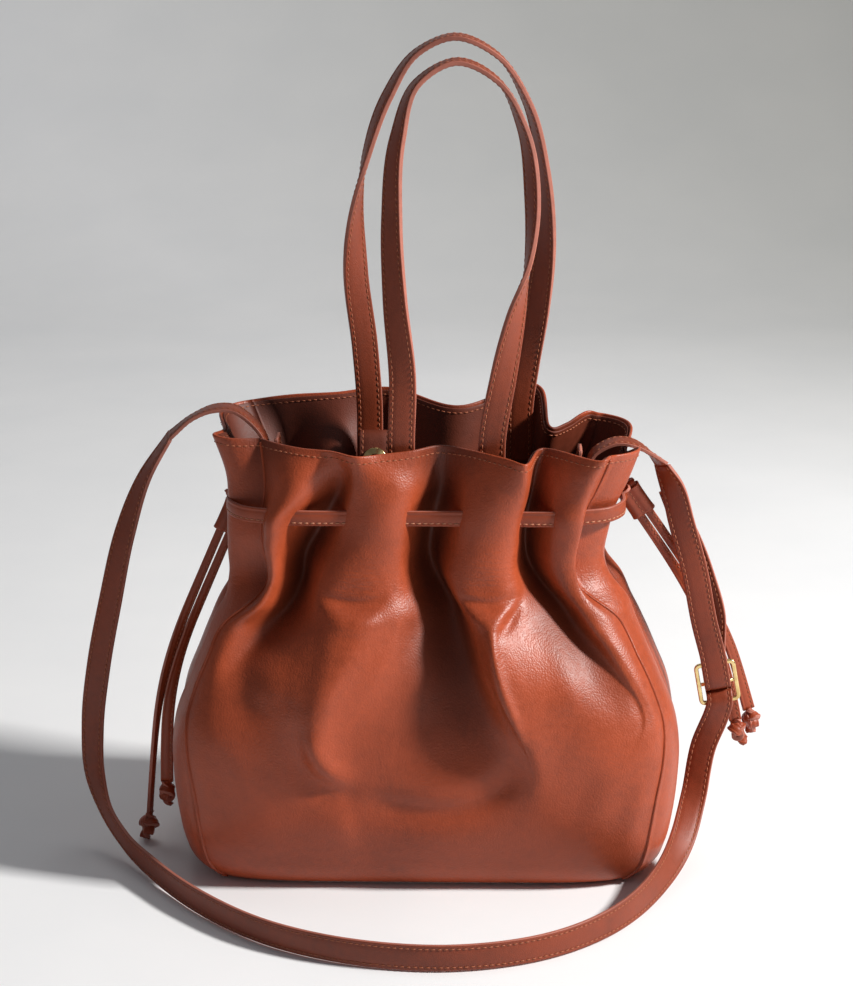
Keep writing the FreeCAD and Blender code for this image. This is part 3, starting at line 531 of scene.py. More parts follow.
# %% Presses: path over the panel, widths to its left and right, depths along it
def press(side, path, widths, depths):
    """Moves the panel out (or in, where a depth is negative) along a path."""
    flat = grids[side][..., (0, 2)] if side in ("front", "back") else grids[side][..., (1, 2)]
    marks = np.arange(len(path))
    line = smooth(marks, path, np.linspace(0, len(path) - 1, 40))
    depth = smooth(marks, depths, np.linspace(0, len(path) - 1, 40))
    best = np.full(flat.shape[:2], 1e9)
    strength = np.zeros(flat.shape[:2])
    for start, end, first, last in zip(line, line[1:], depth, depth[1:]):
        run = end - start
        part = np.clip(((flat - start) @ run) / (run @ run), 0, 1)
        gap = flat - start - part[..., None] * run
        distance = np.hypot(gap[..., 0], gap[..., 1])
        right = run[0] * gap[..., 1] - run[1] * gap[..., 0] < 0
        scaled = distance / np.where(right, widths[1], widths[0])
        nearer = scaled < best
        best = np.where(nearer, scaled, best)
        strength = np.where(nearer, first + (last - first) * part, strength)
    mark = strength * np.exp(-best ** 2)
    grids[side] = grids[side] + plain_ways[side] * mark[..., None]


FRONT_PRESSES = [
    # the knees of the two middle pipes
    ([(-72, 206), (-60, 202.5), (-48, 201), (-36, 201.5), (-24, 204)], (2.6, 3.4), [0, -2.6, -3.4, -2.8, 0]),
    ([(-70, 196), (-55, 192), (-40, 191), (-28, 195)], (6, 7), [0, 2.6, 2.8, 0]),
    ([(20, 205), (31, 202), (43, 201), (54, 203), (62, 206)], (2.6, 3.4), [0, -2.8, -3.4, -3.0, 0]),
    ([(24, 196), (34, 193), (46, 193), (56, 197)], (5, 6), [0, 2.6, 2.6, 0]),
    # the pinch on the right of the middle pipe, and the ridge that runs down from it
    ([(66, 205), (60, 194), (53, 187), (46, 184)], (3.0, 4.5), [-1, -4, -3.5, 0]),
    ([(44, 190), (45, 178), (48, 164), (53, 148), (61, 128), (66, 110)], (3.2, 5.0),
     [0.5, 3.2, 3.4, 3.0, 2.0, 0]),
    # the end of the left pipe, where it turns under and dies in the belly
    ([(-88, 132), (-86, 110), (-78, 92), (-62, 77), (-40, 70)], (8, 12), [-1, -3.6, -4.4, -4.0, 0]),
    ([(-78, 122), (-73, 105), (-62, 93), (-46, 86)], (8, 9), [0, 3.2, 3.4, 0]),
    # the lip of the bowl, from the left pipe's end round to the right pipe's end
    ([(-44, 74), (-20, 66), (8, 62), (34, 66), (54, 80), (62, 100)], (7, 11), [0, -3.0, -3.6, -3.4, -3.2, 0]),
    # the bowl under the middle valley
    ([(58, 118), (60, 98), (52, 84), (34, 76), (10, 72)], (12, 9), [-1.5, -3.6, -3.2, -1.6, 0]),
    # the slope on the left of the middle valley: a lit ridge from the neck down
    ([(-6, 214), (-10, 192), (-22, 166), (-40, 138)], (7, 8), [0, 2.2, 2.4, 0]),
    ([(6, 206), (2, 182), (-2, 150), (-2, 120)], (9, 10), [0, 2.4, 2.6, 0]),
    # long soft folds at the right and the left
    ([(72, 214), (82, 190), (92, 168), (98, 146), (97, 130)], (8, 10), [0, 2.6, 3.2, 2.4, 0]),
    ([(96, 186), (116, 160), (134, 138), (142, 118)], (5, 7), [0, 2.6, 3.0, 0]),
    ([(-86, 196), (-100, 178), (-118, 164), (-138, 152)], (6, 8), [-1, -3, -2.5, 0]),
    ([(-96, 168), (-104, 150), (-110, 130)], (12, 14), [0, 2.4, 0]),
    # slack dents low down
    ([(118, 96), (106, 76), (96, 52)], (12, 12), [0, -1.8, 0]),
    ([(150, 92), (142, 60), (134, 30)], (7, 9), [0, 1.8, 0]),
    ([(-96, 66), (-60, 50), (-20, 46)], (12, 16), [0, 1.2, 0]),
    ([(-142, 110), (-134, 80), (-128, 44)], (10, 12), [0, -1.8, -0.6]),
]
BACK_PRESSES = [
    ([(-52, 206), (-38, 201), (-22, 204)], (3.0, 4.0), [0, -3.0, 0]),
    ([(40, 205), (56, 201), (70, 206)], (3.0, 4.0), [0, -3.0, 0]),
    ([(-40, 196), (-42, 172), (-46, 140), (-48, 110)], (6, 8), [0, 3.0, 2.6, 0]),
    ([(58, 196), (62, 170), (66, 140), (60, 108)], (6, 8), [0, 3.0, 2.6, 0]),
    ([(14, 120), (8, 96), (-12, 80)], (12, 12), [0, -2.6, 0]),
]
for path, widths, depths in FRONT_PRESSES:
    press("front", path, widths, depths)
for path, widths, depths in BACK_PRESSES:
    press("back", path, widths, depths)
for side in ("left", "right"):
    press(side, [(-30, 214), (-22, 190), (-30, 160)], (5, 6), [0, 2.2, 0])
    press(side, [(24, 206), (20, 184), (30, 156)], (5, 6), [0, 2.0, 0])
    press(side, [(0, 150), (2, 120), (0, 90)], (9, 9), [0, -2.6, 0])
print("presses:", len(FRONT_PRESSES) + len(BACK_PRESSES) + 6)

# %% [markdown]
# ## Giving the leather its thickness
# A panel on the real bag is one ply of hide whose top edge is turned over and stitched. The grid is
# only its outside, so an inside is made by stepping back along the surface's own directions, and the
# two are joined over the rim by a half-round roll. The Solidify modifier makes flat rims.

# %% Panels with a rolled rim
LEATHER, ROLL_STEPS = 2.0, 6


def surface_ways(grid):
    """Directions square to a grid, found from its neighbours."""
    up = np.gradient(grid, axis=0)
    across = np.gradient(grid, axis=1)
    return unit(np.cross(across, up))


def side_ways(side, grid):
    """Outward directions of a panel."""
    ways = surface_ways(grid)
    return ways if np.sum(ways * plain_ways[side]) > 0 else -ways


def rolled_rows(grid, ways, thickness):
    """The outside rows, a half-round over the rim and the inside rows, as one long grid."""
    inside = grid - ways * thickness
    rim, way = grid[-1], ways[-1]
    up = unit(grid[-1] - grid[-3])
    roll = []
    for turn in np.linspace(0, math.pi, ROLL_STEPS + 1)[1:-1]:
        roll.append(rim - way * (thickness / 2) * (1 - math.cos(turn))
                    + up * (thickness / 2) * math.sin(turn))
    return np.concatenate([grid, np.array(roll), inside[::-1]])


def closed_band(grid):
    """Faces of a folded-over grid, shut along its sides and its foot."""
    rows, columns = grid.shape[:2]
    faces = row_faces(rows, columns)
    for column in (0, columns - 1):
        for row in range(rows // 2):
            a, b = row * columns + column, (row + 1) * columns + column
            c, d = (rows - 2 - row) * columns + column, (rows - 1 - row) * columns + column
            if len({a, b, c, d}) == 4:
                faces.append((a, d, c, b) if column == 0 else (a, b, c, d))
            elif len({a, b, d}) == 3:
                faces.append((a, d, b) if column == 0 else (a, b, d))
    last = (rows - 1) * columns
    for column in range(columns - 1):
        faces.append((column, last + column, last + column + 1, column + 1))
    return faces


def spots(centre, spread, grid):
    """A soft round mask on a grid, centre and spread in millimetres as (across, height)."""
    across = grid[..., 0]
    return np.exp(-((across - centre[0]) / spread[0]) ** 2 - ((grid[..., 2] - centre[1]) / spread[1]) ** 2)


LEVEL_CREASES = [((-44, 214), (22, 15), 1.0), ((-58, 185), (16, 12), 0.5), ((45, 222), (19, 16), 1.0),
                 ((46, 194), (16, 8), 0.8), ((-90, 205), (12, 18), 0.3), ((4, 76), (30, 12), 0.5),
                 ((104, 52), (30, 18), 0.35)]
UPRIGHT_CREASES = [((-58, 287), (16, 9), 1.0), ((8, 289), (20, 10), 1.0), ((72, 288), (12, 9), 0.8),
                   ((105, 288), (14, 8), 0.5), ((-104, 286), (14, 8), 0.4)]
ways = {}
for side in SIDES:
    grids[side] = relax(grids[side], 2)
    ways[side] = side_ways(side, grids[side])
    outer = grids[side]
    whole = rolled_rows(outer, ways[side], LEATHER)
    name = side + ("_panel" if side in ("front", "back") else "_gusset")
    piece = make_piece(name + "_leather", whole.reshape(-1, 3) * MM, closed_band(whole), [bag_leather],
                       "bag")
    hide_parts(name)
    fade = np.clip((outer[..., 2] - 60) / 60, 0, 1)
    # painted shade mask: darkens the leather colour in the deep valleys, fading out below 60 mm; it also
    # roughens them
    valley_shade = np.clip(-fold_depths[side] / 20, 0, 1) * fade
    broad = side in ("front", "back")
    level_marks = sum(s * spots(c, w, outer) for c, w, s in LEVEL_CREASES) if broad else 0.25 * fade
    upright_marks = sum(s * spots(c, w, outer) for c, w, s in UPRIGHT_CREASES) if broad else 0.3 * fade
    for mark, values in (("valley_shade", valley_shade), ("level_creases", level_marks),
                         ("upright_creases", upright_marks)):
        middle = np.repeat(values[-1:], ROLL_STEPS - 1, axis=0)
        paint(piece, mark, np.concatenate([values, middle, values[::-1]]))
    print(piece.name, len(piece.data.polygons), "faces")

# %% [markdown]
# ## Stitches
# A stitch is a short length of waxed thread that dips into the leather at both ends. Thousands are
# needed, so each is a six-sided bead with tapered ends, and a whole row becomes one mesh. A row
# follows any line of points, with the direction that faces out of the leather.

# %% A row of stitches
STITCH, STITCH_GAP, THREAD = 3.0, 1.1, 0.42
STITCH_RINGS = ((0.0, 0.25, -0.3), (0.12, 0.85, 0.05), (0.5, 1.0, 0.18), (0.88, 0.85, 0.05),
                (1.0, 0.25, -0.3))


def stitch_row(points, facing, stitch=STITCH):
    """Points and faces of the stitches along a line, in millimetres."""
    along = lengths_along(points)
    count = int(along[-1] // (stitch + STITCH_GAP))
    made, faces = [], []
    for index in range(count):
        start = (index + 0.5) * along[-1] / count - stitch / 2
        places = start + np.array([ring[0] for ring in STITCH_RINGS]) * stitch
        middle = np.stack([np.interp(places, along, points[:, axis]) for axis in range(3)], -1)
        way = unit(np.stack([np.interp(places, along, facing[:, axis]) for axis in range(3)], -1))
        run = unit(middle[-1:] - middle[:1])
        side = unit(np.cross(run, way))
        first = len(made) * 30
        ring_points = []
        for (place, swell, rise), centre, out, aside in zip(STITCH_RINGS, middle, way, side):
            for turn in np.arange(6) * math.pi / 3:
                ring_points.append(centre + out * (rise * THREAD * 2 + math.sin(turn) * THREAD * swell)
                                   + aside * math.cos(turn) * THREAD * swell)
        made.append(ring_points)
        faces += row_faces(5, 6, ring=True, first=first)
        faces += [tuple(first + k for k in range(5, -1, -1)), tuple(first + 24 + k for k in range(6))]
    return np.array(made).reshape(-1, 3), faces


def stitch_piece(name, rows, body, material=None):
    """One mesh from several rows of stitches."""
    points, faces = joined(rows)
    piece = make_piece(name, points * MM, faces, [material or tan_thread], body)
    return piece


def grid_line(grid, way, drop):
    """A line along the rim of a grid, a distance below it, and the facing along it."""
    below = lengths_along_rows(grid)
    line = np.array([[np.interp(drop, below[:, c], grid[::-1, c, axis]) for axis in range(3)]
                     for c in range(grid.shape[1])])
    facing = np.array([[np.interp(drop, below[:, c], way[::-1, c, axis]) for axis in range(3)]
                       for c in range(grid.shape[1])])
    return line, facing


def lengths_along_rows(grid):
    """How far each row lies below the rim, column by column."""
    steps = np.linalg.norm(np.diff(grid[::-1], axis=0), axis=2)
    return np.concatenate([np.zeros((1, grid.shape[1])), np.cumsum(steps, axis=0)])


RIM_DROP, INNER_SKIN = 4.2, 1.5
rim_rows = []
for side in SIDES:
    line, facing = grid_line(grids[side], ways[side], RIM_DROP)
    rim_rows.append(stitch_row(line, facing))
    inner, inner_facing = grid_line(grids[side] - ways[side] * (LEATHER + INNER_SKIN), -ways[side], RIM_DROP)
    rim_rows.append(stitch_row(inner, inner_facing))
rim_stitches = stitch_piece("rim_stitches", rim_rows, "bag")
print("rim stitches:", len(rim_stitches.data.polygons) // 26)

# %% [markdown]
# ## Side seams
# Panels and gussets are sewn together and turned, which leaves a narrow raised ridge of leather
# along each corner. Its section is a small teardrop, carried up the seam that two panels share.

# %% Raised seams
def tube_along(points, facing, outline):
    """Rows of an outline, (across, out) in millimetres, carried along a line."""
    run = unit(np.gradient(points, axis=0))
    way = unit(facing - run * np.sum(facing * run, axis=1, keepdims=True))
    side = np.cross(run, way)
    outline = np.asarray(outline, float)
    return points[:, None] + side[:, None] * outline[None, :, :1] + way[:, None] * outline[None, :, 1:]


def capped(rows):
    """Faces of a closed tube with flat ends."""
    count, around = rows.shape[:2]
    faces = row_faces(count, around, ring=True)
    faces.append(tuple(range(around - 1, -1, -1)))
    faces.append(tuple((count - 1) * around + k for k in range(around)))
    return faces


WELT = [(1.1, -0.9), (1.05, 0.1), (0.65, 0.95), (0, 1.3), (-0.65, 0.95), (-1.05, 0.1), (-1.1, -0.9)]
for side, column, name in (("front", 0, "front_left"), ("front", -1, "front_right"),
                           ("back", 0, "back_left"), ("back", -1, "back_right")):
    line = grids[side][2:-1, column]
    facing = plain_ways[side][2:-1, column]
    rows = tube_along(line, facing, WELT)
    seam = make_piece(name + "_seam", rows.reshape(-1, 3) * MM, capped(rows), [bag_leather], "bag")
    print(seam.name, "length %.0f mm" % lengths_along(line)[-1])

# %% [markdown]
# ## Facings, lining and base
# Inside the mouth a strip of the same leather faces each panel, painted much darker as shade, and below it
# hangs the cloth lining.
# They follow the panels at a small distance, so they are cut from the same grids. The
# base is a leather plate over a stiff board that keeps it flat.

# %% Inside of the bag
FACING_FOOT, LINING_TOP, LINING_FOOT = 250.0, 256.0, 7.0
FACING, FACING_GAP, LINING, LINING_GAP = 1.2, 0.25, 0.6, 0.3
for side in SIDES:
    first = int(np.searchsorted(ROW_LEVELS, FACING_FOOT))
    outer = (grids[side] - ways[side] * (LEATHER + FACING_GAP))[first:-1]
    band = rolled_rows(outer, ways[side][first:-1], FACING)
    facing = make_piece(side + "_facing_leather", band.reshape(-1, 3) * MM, closed_band(band),
                        [facing_leather],
                        "bag")
    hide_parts(side + "_facing")
low, high = np.searchsorted(ROW_LEVELS, (LINING_FOOT, LINING_TOP))
cloth = []
for side in SIDES:
    outer = (grids[side] - ways[side] * (LEATHER + LINING_GAP))[low:high:2, ::3]
    band = rolled_rows(outer, ways[side][low:high:2, ::3], LINING)
    cloth.append((band, closed_band(band)))
points, faces = joined(cloth)
lining = make_piece("lining_cloth_bag", points * MM, faces, [lining_cloth], "bag")
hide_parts("lining")


def base_ring(z, inset):
    turns = np.linspace(0, 2 * math.pi, 160, endpoint=False)
    half_x, half_y, power, _ = level_shape(ROW_LEVELS[:1])
    x = np.sign(np.cos(turns)) * np.abs(np.cos(turns)) ** (2 / power) * (half_x - inset)
    y = np.sign(np.sin(turns)) * np.abs(np.sin(turns)) ** (2 / power) * (half_y - inset)
    return np.stack([x, y, np.full(160, float(z))], -1)


plate = np.array([base_ring(0.9, 60), base_ring(0.9, 2.5), base_ring(0.35, 1.2), base_ring(0.05, 2.5),
                  base_ring(0.0, 8), base_ring(0.0, 60)])
ends = [tuple(range(160)), tuple(5 * 160 + k for k in range(159, -1, -1))]
base_leather = make_piece("base_leather", plate.reshape(-1, 3) * MM, row_faces(6, 160, ring=True) + ends,
                          [bag_leather], "bag")
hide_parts("base_panel")
print("inside pieces done, base", [round(v) for v in plate.reshape(-1, 3).max(0)])

# %% [markdown]
# ## Drawstring tails: the free laces
# Below each slider hang two free lace ends with a knot on each. They are leather laces, limp enough
# to hang under their own weight, and here they rest close to the body and bend gently. Each
# is a line through a few listed points; the flat, folded lace is then carried along that line.

# %% Lines of the four tails
TAIL_ROUTES = {
    "left_tail_long": [(-0.1321, 0, 0.2514), (-0.1581, 0, 0.1918), (-0.176, -0.0015, 0.148),
                       (-0.187, -0.003, 0.108), (-0.1925, -0.0045, 0.064), (-0.196, -0.006, 0.021)],
    "left_tail_short": [(-0.1259, 0, 0.2486), (-0.1519, 0, 0.189), (-0.1685, -0.0045, 0.150),
                        (-0.1785, -0.009, 0.114), (-0.182, -0.010, 0.080), (-0.1825, -0.010, 0.047)],
    "right_tail_front": [(0.1338, 0.002, 0.2591), (0.1692, 0.014, 0.2055), (0.189, 0.020, 0.171),
                         (0.2045, 0.023, 0.137), (0.213, 0.022, 0.110), (0.2185, 0.020, 0.084)],
    "right_tail_back": [(0.1394, 0.002, 0.2628), (0.1748, 0.014, 0.2092), (0.1955, 0.025, 0.175),
                        (0.212, 0.031, 0.142), (0.2215, 0.032, 0.114), (0.229, 0.0315, 0.088)],
}


def route_points(name, route):
    """Close points on the smooth line of a route, in metres."""
    curve = bpy.data.curves.new(name + "_line", "CURVE")
    curve.dimensions = "3D"
    curve.resolution_u = 16
    line = curve.splines.new("NURBS")
    line.points.add(len(route) - 1)
    for point, place in zip(line.points, route):
        point.co = (*place, 1)
    line.order_u = 3
    line.use_endpoint_u = True
    holder = bpy.data.objects.new(name + "_line", curve)
    traced = bpy.data.meshes.new_from_object(holder)
    points = np.array([tuple(v.co) for v in traced.vertices])
    bpy.data.objects.remove(holder)
    bpy.data.meshes.remove(traced)
    return points


tail_lines = {name: route_points(name, route) for name, route in TAIL_ROUTES.items()}
for name, line in tail_lines.items():
    print(name, "%.0f mm" % (lengths_along(line)[-1] / MM))

# %% [markdown]
# ## Straps and laces as carried outlines
# Every strap here is two plies of leather glued and sewn back to back, with painted edges. Its outline
# has a soft crown, a shallow groove where each stitch row pulls it down, and a fine line where the
# plies meet in the edge. The outline is carried along the strap, turning with it.

# %% Strap outline and ribbon
def strap_outline(width, thickness, inset, groove=0.28):
    """Points round a two-ply strap as (across, up), and which of its sides are cut edges."""
    half, up = width / 2, thickness / 2
    line = half - inset
    top = [(-half + 0.25, up * 0.86), (-half + 0.9, up), (-line - 0.7, up), (-line, up - groove),
           (-line + 0.8, up),
           (-line * 0.45, up + 0.12), (0, up + 0.16), (line * 0.45, up + 0.12), (line - 0.8, up),
           (line, up - groove),
           (line + 0.7, up), (half - 0.9, up), (half - 0.25, up * 0.86)]
    edge = [(half, up * 0.45), (half - 0.28, 0), (half, -up * 0.45)]
    under = [(x, -z) for x, z in reversed(top)]
    other = [(-x, -z) for x, z in edge]
    outline = top + edge + under + other
    is_edge = [0] * (len(top) - 1) + [1] * (len(edge) + 1) + [0] * (len(under) - 1) + [1] * (len(other) + 1)
    return np.array(outline), is_edge


def ribbon_frames(stations, spacing=3.5):
    """Centre, across and up directions along a strap, from its stations of centre and across."""
    centres = np.array([s[0] for s in stations], float)
    across = unit(np.array([s[1] for s in stations], float))
    marks = lengths_along(centres)
    at = np.linspace(0, marks[-1], max(8, int(marks[-1] / spacing)))
    middle = smooth(marks, centres, at)
    aside = smooth(marks, across, at)
    run = unit(np.gradient(middle, axis=0))
    aside = unit(aside - run * np.sum(aside * run, axis=1, keepdims=True))
    return middle, aside, np.cross(aside, run)


def sweep(frames, outline, widths=None):
    middle, aside, up = frames
    scale = np.ones(len(middle)) if widths is None else widths
    return (middle[:, None] + aside[:, None] * outline[None, :, :1] * scale[:, None, None]
            + up[:, None] * outline[None, :, 1:])


def ribbon_piece(name, frames, width, thickness, body, material, slot, inset=2.6, widths=None, groove=0.28):
    """A strap of two plies, with cut edges of their own colour."""
    outline, is_edge = strap_outline(width, thickness, inset, groove)
    rows = sweep(frames, outline, widths)
    faces = capped(rows)
    marks = is_edge * (len(rows) - 1) + [1, 1]
    return make_piece(name, rows.reshape(-1, 3) * MM, faces, [material, cut_edge], body, marks)


def ribbon_stitches(frames, width, thickness, inset=2.6, rows=(-1, 1), widths=None, stitch=STITCH):
    """Stitch rows along a strap on its upper side and on its under side."""
    middle, aside, up = frames
    scale = np.ones(len(middle)) if widths is None else widths
    made = []
    for row in rows:
        line = middle + aside * ((width / 2 - inset) * row * scale)[:, None]
        for face in (1, -1):
            made.append(stitch_row(line + up * face * (thickness / 2 - 0.1), up * face, stitch))
    return made


# %% [markdown]
# ## Laces of the tails
# The lace is a strip folded in three and sewn down the middle of one side, about 6 mm wide where it
# runs through the slider. Towards its knot it opens out or turns edge on, as a limp lace does, so
# its width and its twist change along the way.

# %% Tail laces
ALONG_LEFT, ALONG_RIGHT = (0.91, 0, -0.41), (0.83, 0.02, 0.55)
TAILS = {
    # name: (across at marks along the lace, share of full width at the same marks, lace width)
    "left_tail_long": ([ALONG_LEFT, ALONG_LEFT, (0.7, 0.6, -0.2), (0.35, 0.95, 0), (0.3, 0.95, 0)],
                       [0.68, 0.7, 0.8, 0.85, 0.8], 8.5),
    "left_tail_short": ([ALONG_LEFT, ALONG_LEFT, (0.8, 0.5, -0.2), (0.95, 0.2, 0), (1, 0, 0)],
                        [0.66, 0.68, 0.75, 0.95, 1.0], 8.8),
    "right_tail_front": ([ALONG_RIGHT, ALONG_RIGHT, (0.9, 0.3, 0.3), (1, 0.1, 0.2), (1, 0, 0.2)],
                         [0.66, 0.7, 0.9, 1.0, 1.0], 9.0),
    "right_tail_back": ([ALONG_RIGHT, ALONG_RIGHT, (0.8, 0.5, 0.3), (0.8, 0.55, 0.2), (0.95, 0.3, 0.2)],
                        [0.66, 0.68, 0.8, 0.95, 1.0], 9.0),
}
LACE_THICK = 2.6
tail_pieces, tail_frames = {}, {}
for name, (across, shares, width) in TAILS.items():
    middle = tail_lines[name] / MM
    marks = lengths_along(middle) / lengths_along(middle)[-1]
    stops = np.linspace(0, 1, len(across))
    aside = smooth(stops, across, marks)
    run = unit(np.gradient(middle, axis=0))
    aside = unit(aside - run * np.sum(aside * run, axis=1, keepdims=True))
    frames = (middle, aside, np.cross(aside, run))
    share = smooth(stops, shares, marks)
    body = name.split("_")[0] + "_tassel"
    lace = ribbon_piece(name + "_lace", frames, width, LACE_THICK, None, lace_leather, "lace_leather", 1.9,
                        share, 0.2)
    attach(lace, body)
    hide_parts(name)
    sewing = stitch_piece(name + "_stitches",
                          ribbon_stitches(frames, width, LACE_THICK, 1.9, (1,), share, 2.4), body)
    tail_pieces[name], tail_frames[name] = (lace, sewing), frames
print("tails:", sorted(tail_pieces))

# %% [markdown]
# ## Knots
# Each lace ends in an overhand knot pulled tight: the lace runs in at the top, loops round itself
# and leaves a short cut end. The loop is a three-lobed line, the simplest real knot, squeezed
# into a lump. A plain ball would miss the crossing strands that catch the light.

# %% Knots on the tails
def knot_line(radius, height):
    """An overhand knot hanging down from the origin."""
    turns = np.linspace(0.28, 2 * math.pi - 0.28, 72)
    x = (np.sin(turns) + 1.5 * np.sin(2 * turns)) * radius * 0.21
    z = (np.cos(turns) - 1.5 * np.cos(2 * turns)) * height * 0.125 - height * 0.42
    y = -np.sin(3 * turns) * radius * 0.40
    loop = np.stack([x, y, z], 1)
    start = np.array([(0, 0, 0.5), (0.3, 0, -height * 0.12)])
    stub = np.array([(-radius * 0.35, -radius * 0.2, -height * 0.86),
                     (-radius * 0.5, -radius * 0.3, -height * 1.0)])
    return np.concatenate([start, loop, stub])


KNOTS = {"left_tail_long": (8.3, 20, 0.4), "left_tail_short": (7, 18, 1.1), "right_tail_front": (7, 18, 2.2),
         "right_tail_back": (7, 18, 0.2)}
KNOT_WIDTH, KNOT_THICK, KNOT_SMOOTHING = 7.6, 3.8, 6
for name, (radius, height, turn) in KNOTS.items():
    centre = knot_line(radius, height)
    marks = lengths_along(centre)
    at = np.linspace(0, marks[-1], 110)
    line = np.stack([np.interp(at, marks, centre[:, axis]) for axis in range(3)], -1)
    for _ in range(KNOT_SMOOTHING):
        line[1:-1] = (line[:-2] + 2 * line[1:-1] + line[2:]) / 4
    run = unit(np.gradient(line, axis=0))
    outward = line - np.array([0, 0, -height * 0.5])
    up = unit(outward - run * np.sum(outward * run, axis=1, keepdims=True))
    frames = (line, np.cross(run, up), up)
    outline, is_edge = strap_outline(KNOT_WIDTH, KNOT_THICK, 1.8, 0.2)
    rows = sweep(frames, outline)
    down = unit(tail_frames[name][0][-1] - tail_frames[name][0][-3])
    aside = unit(np.cross(down, (math.sin(turn), math.cos(turn), 0.1)))
    third = np.cross(down, aside)
    turned = rows[..., :1] * aside + rows[..., 1:2] * third - rows[..., 2:] * down + tail_frames[name][0][-1]
    body = name.split("_")[0] + "_tassel"
    knot = make_piece(name.replace("tail", "knot") + "_tied", turned.reshape(-1, 3) * MM, capped(rows),
                      [lace_leather, cut_edge],
                      body, is_edge * (len(rows) - 1) + [1, 1])
    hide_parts(name.replace("tail", "knot"))

# %% [markdown]
# ## Sliders
# A slider is a short leather sleeve sewn shut between the two laces, so each lace has its own channel.
# Pushing it up closes the bag. Its section is a flat figure of eight, pinched where the
# stitches run, and its two ends flare a little from use.

# %% Sliders
SLIDER_LENGTH = 22.0
SLEEVE_OUTSIDE, SLEEVE_INSIDE = (16.6, 9.0, 0.24), (13.9, 6.4, 0.16)  # width, depth, pinch


def slider_section(width, depth, pinch):
    turns = np.linspace(0, 2 * math.pi, 40, endpoint=False)
    x = np.sign(np.cos(turns)) * np.abs(np.cos(turns)) ** 0.75 * width / 2
    waist = 1 - pinch * np.exp(-(x / (width * 0.13)) ** 2)
    y = np.sign(np.sin(turns)) * np.abs(np.sin(turns)) ** 0.75 * depth / 2 * waist
    return np.stack([x, y], 1)


for side, first, second in (("left", "left_tail_long", "left_tail_short"),
                            ("right", "right_tail_front", "right_tail_back")):
    a, b = (np.array(TAIL_ROUTES[n][0]) / MM for n in (first, second))
    down = unit(np.array(TAIL_ROUTES[first][1]) / MM - a)
    across = unit(b - a)
    out = np.cross(down, across)
    top = (a + b) / 2 + down * 0.6
    rows = []
    for part, skin in [(p, 1) for p in np.linspace(0, 1, 13)] + [(p, 0) for p in np.linspace(1, 0, 13)]:
        flare = 1 + 0.05 * (2 * part - 1) ** 4
        section = slider_section(*(SLEEVE_OUTSIDE if skin else SLEEVE_INSIDE))
        rows.append(top + down * SLIDER_LENGTH * part + (section[:, :1] * across + section[:,
                                                                                           1:] * out) * flare)
    rows.append(rows[0])
    rows = np.array(rows)
    faces = row_faces(len(rows), 40, ring=True)
    cut = [1 if row in (12, 25) else 0 for row in range(len(rows) - 1) for _ in range(40)]
    slider = make_piece(side + "_slider_sleeve", rows.reshape(-1, 3) * MM, faces, [lace_leather, cut_edge],
                        side + "_slider",
                        cut)
    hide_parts(side + "_slider")
    sewing = []
    for face in (1, -1):
        line = np.array([top + down * s + out * face * 3.45 for s in np.linspace(1.2, SLIDER_LENGTH - 1.2,
                                                                                 12)])
        sewing.append(stitch_row(line, np.tile(out * face, (12, 1)), 2.4))
    stitch_piece(side + "_slider_stitches", sewing, side + "_slider")
print("sliders: 2")

# %% [markdown]
# ## The tail laces
# The loop below only reads each tail's line once more; it adds nothing to the scene.

for name, (lace, sewing) in tail_pieces.items():
    line = tail_lines[name]
print("declared laces:", len(tail_pieces))
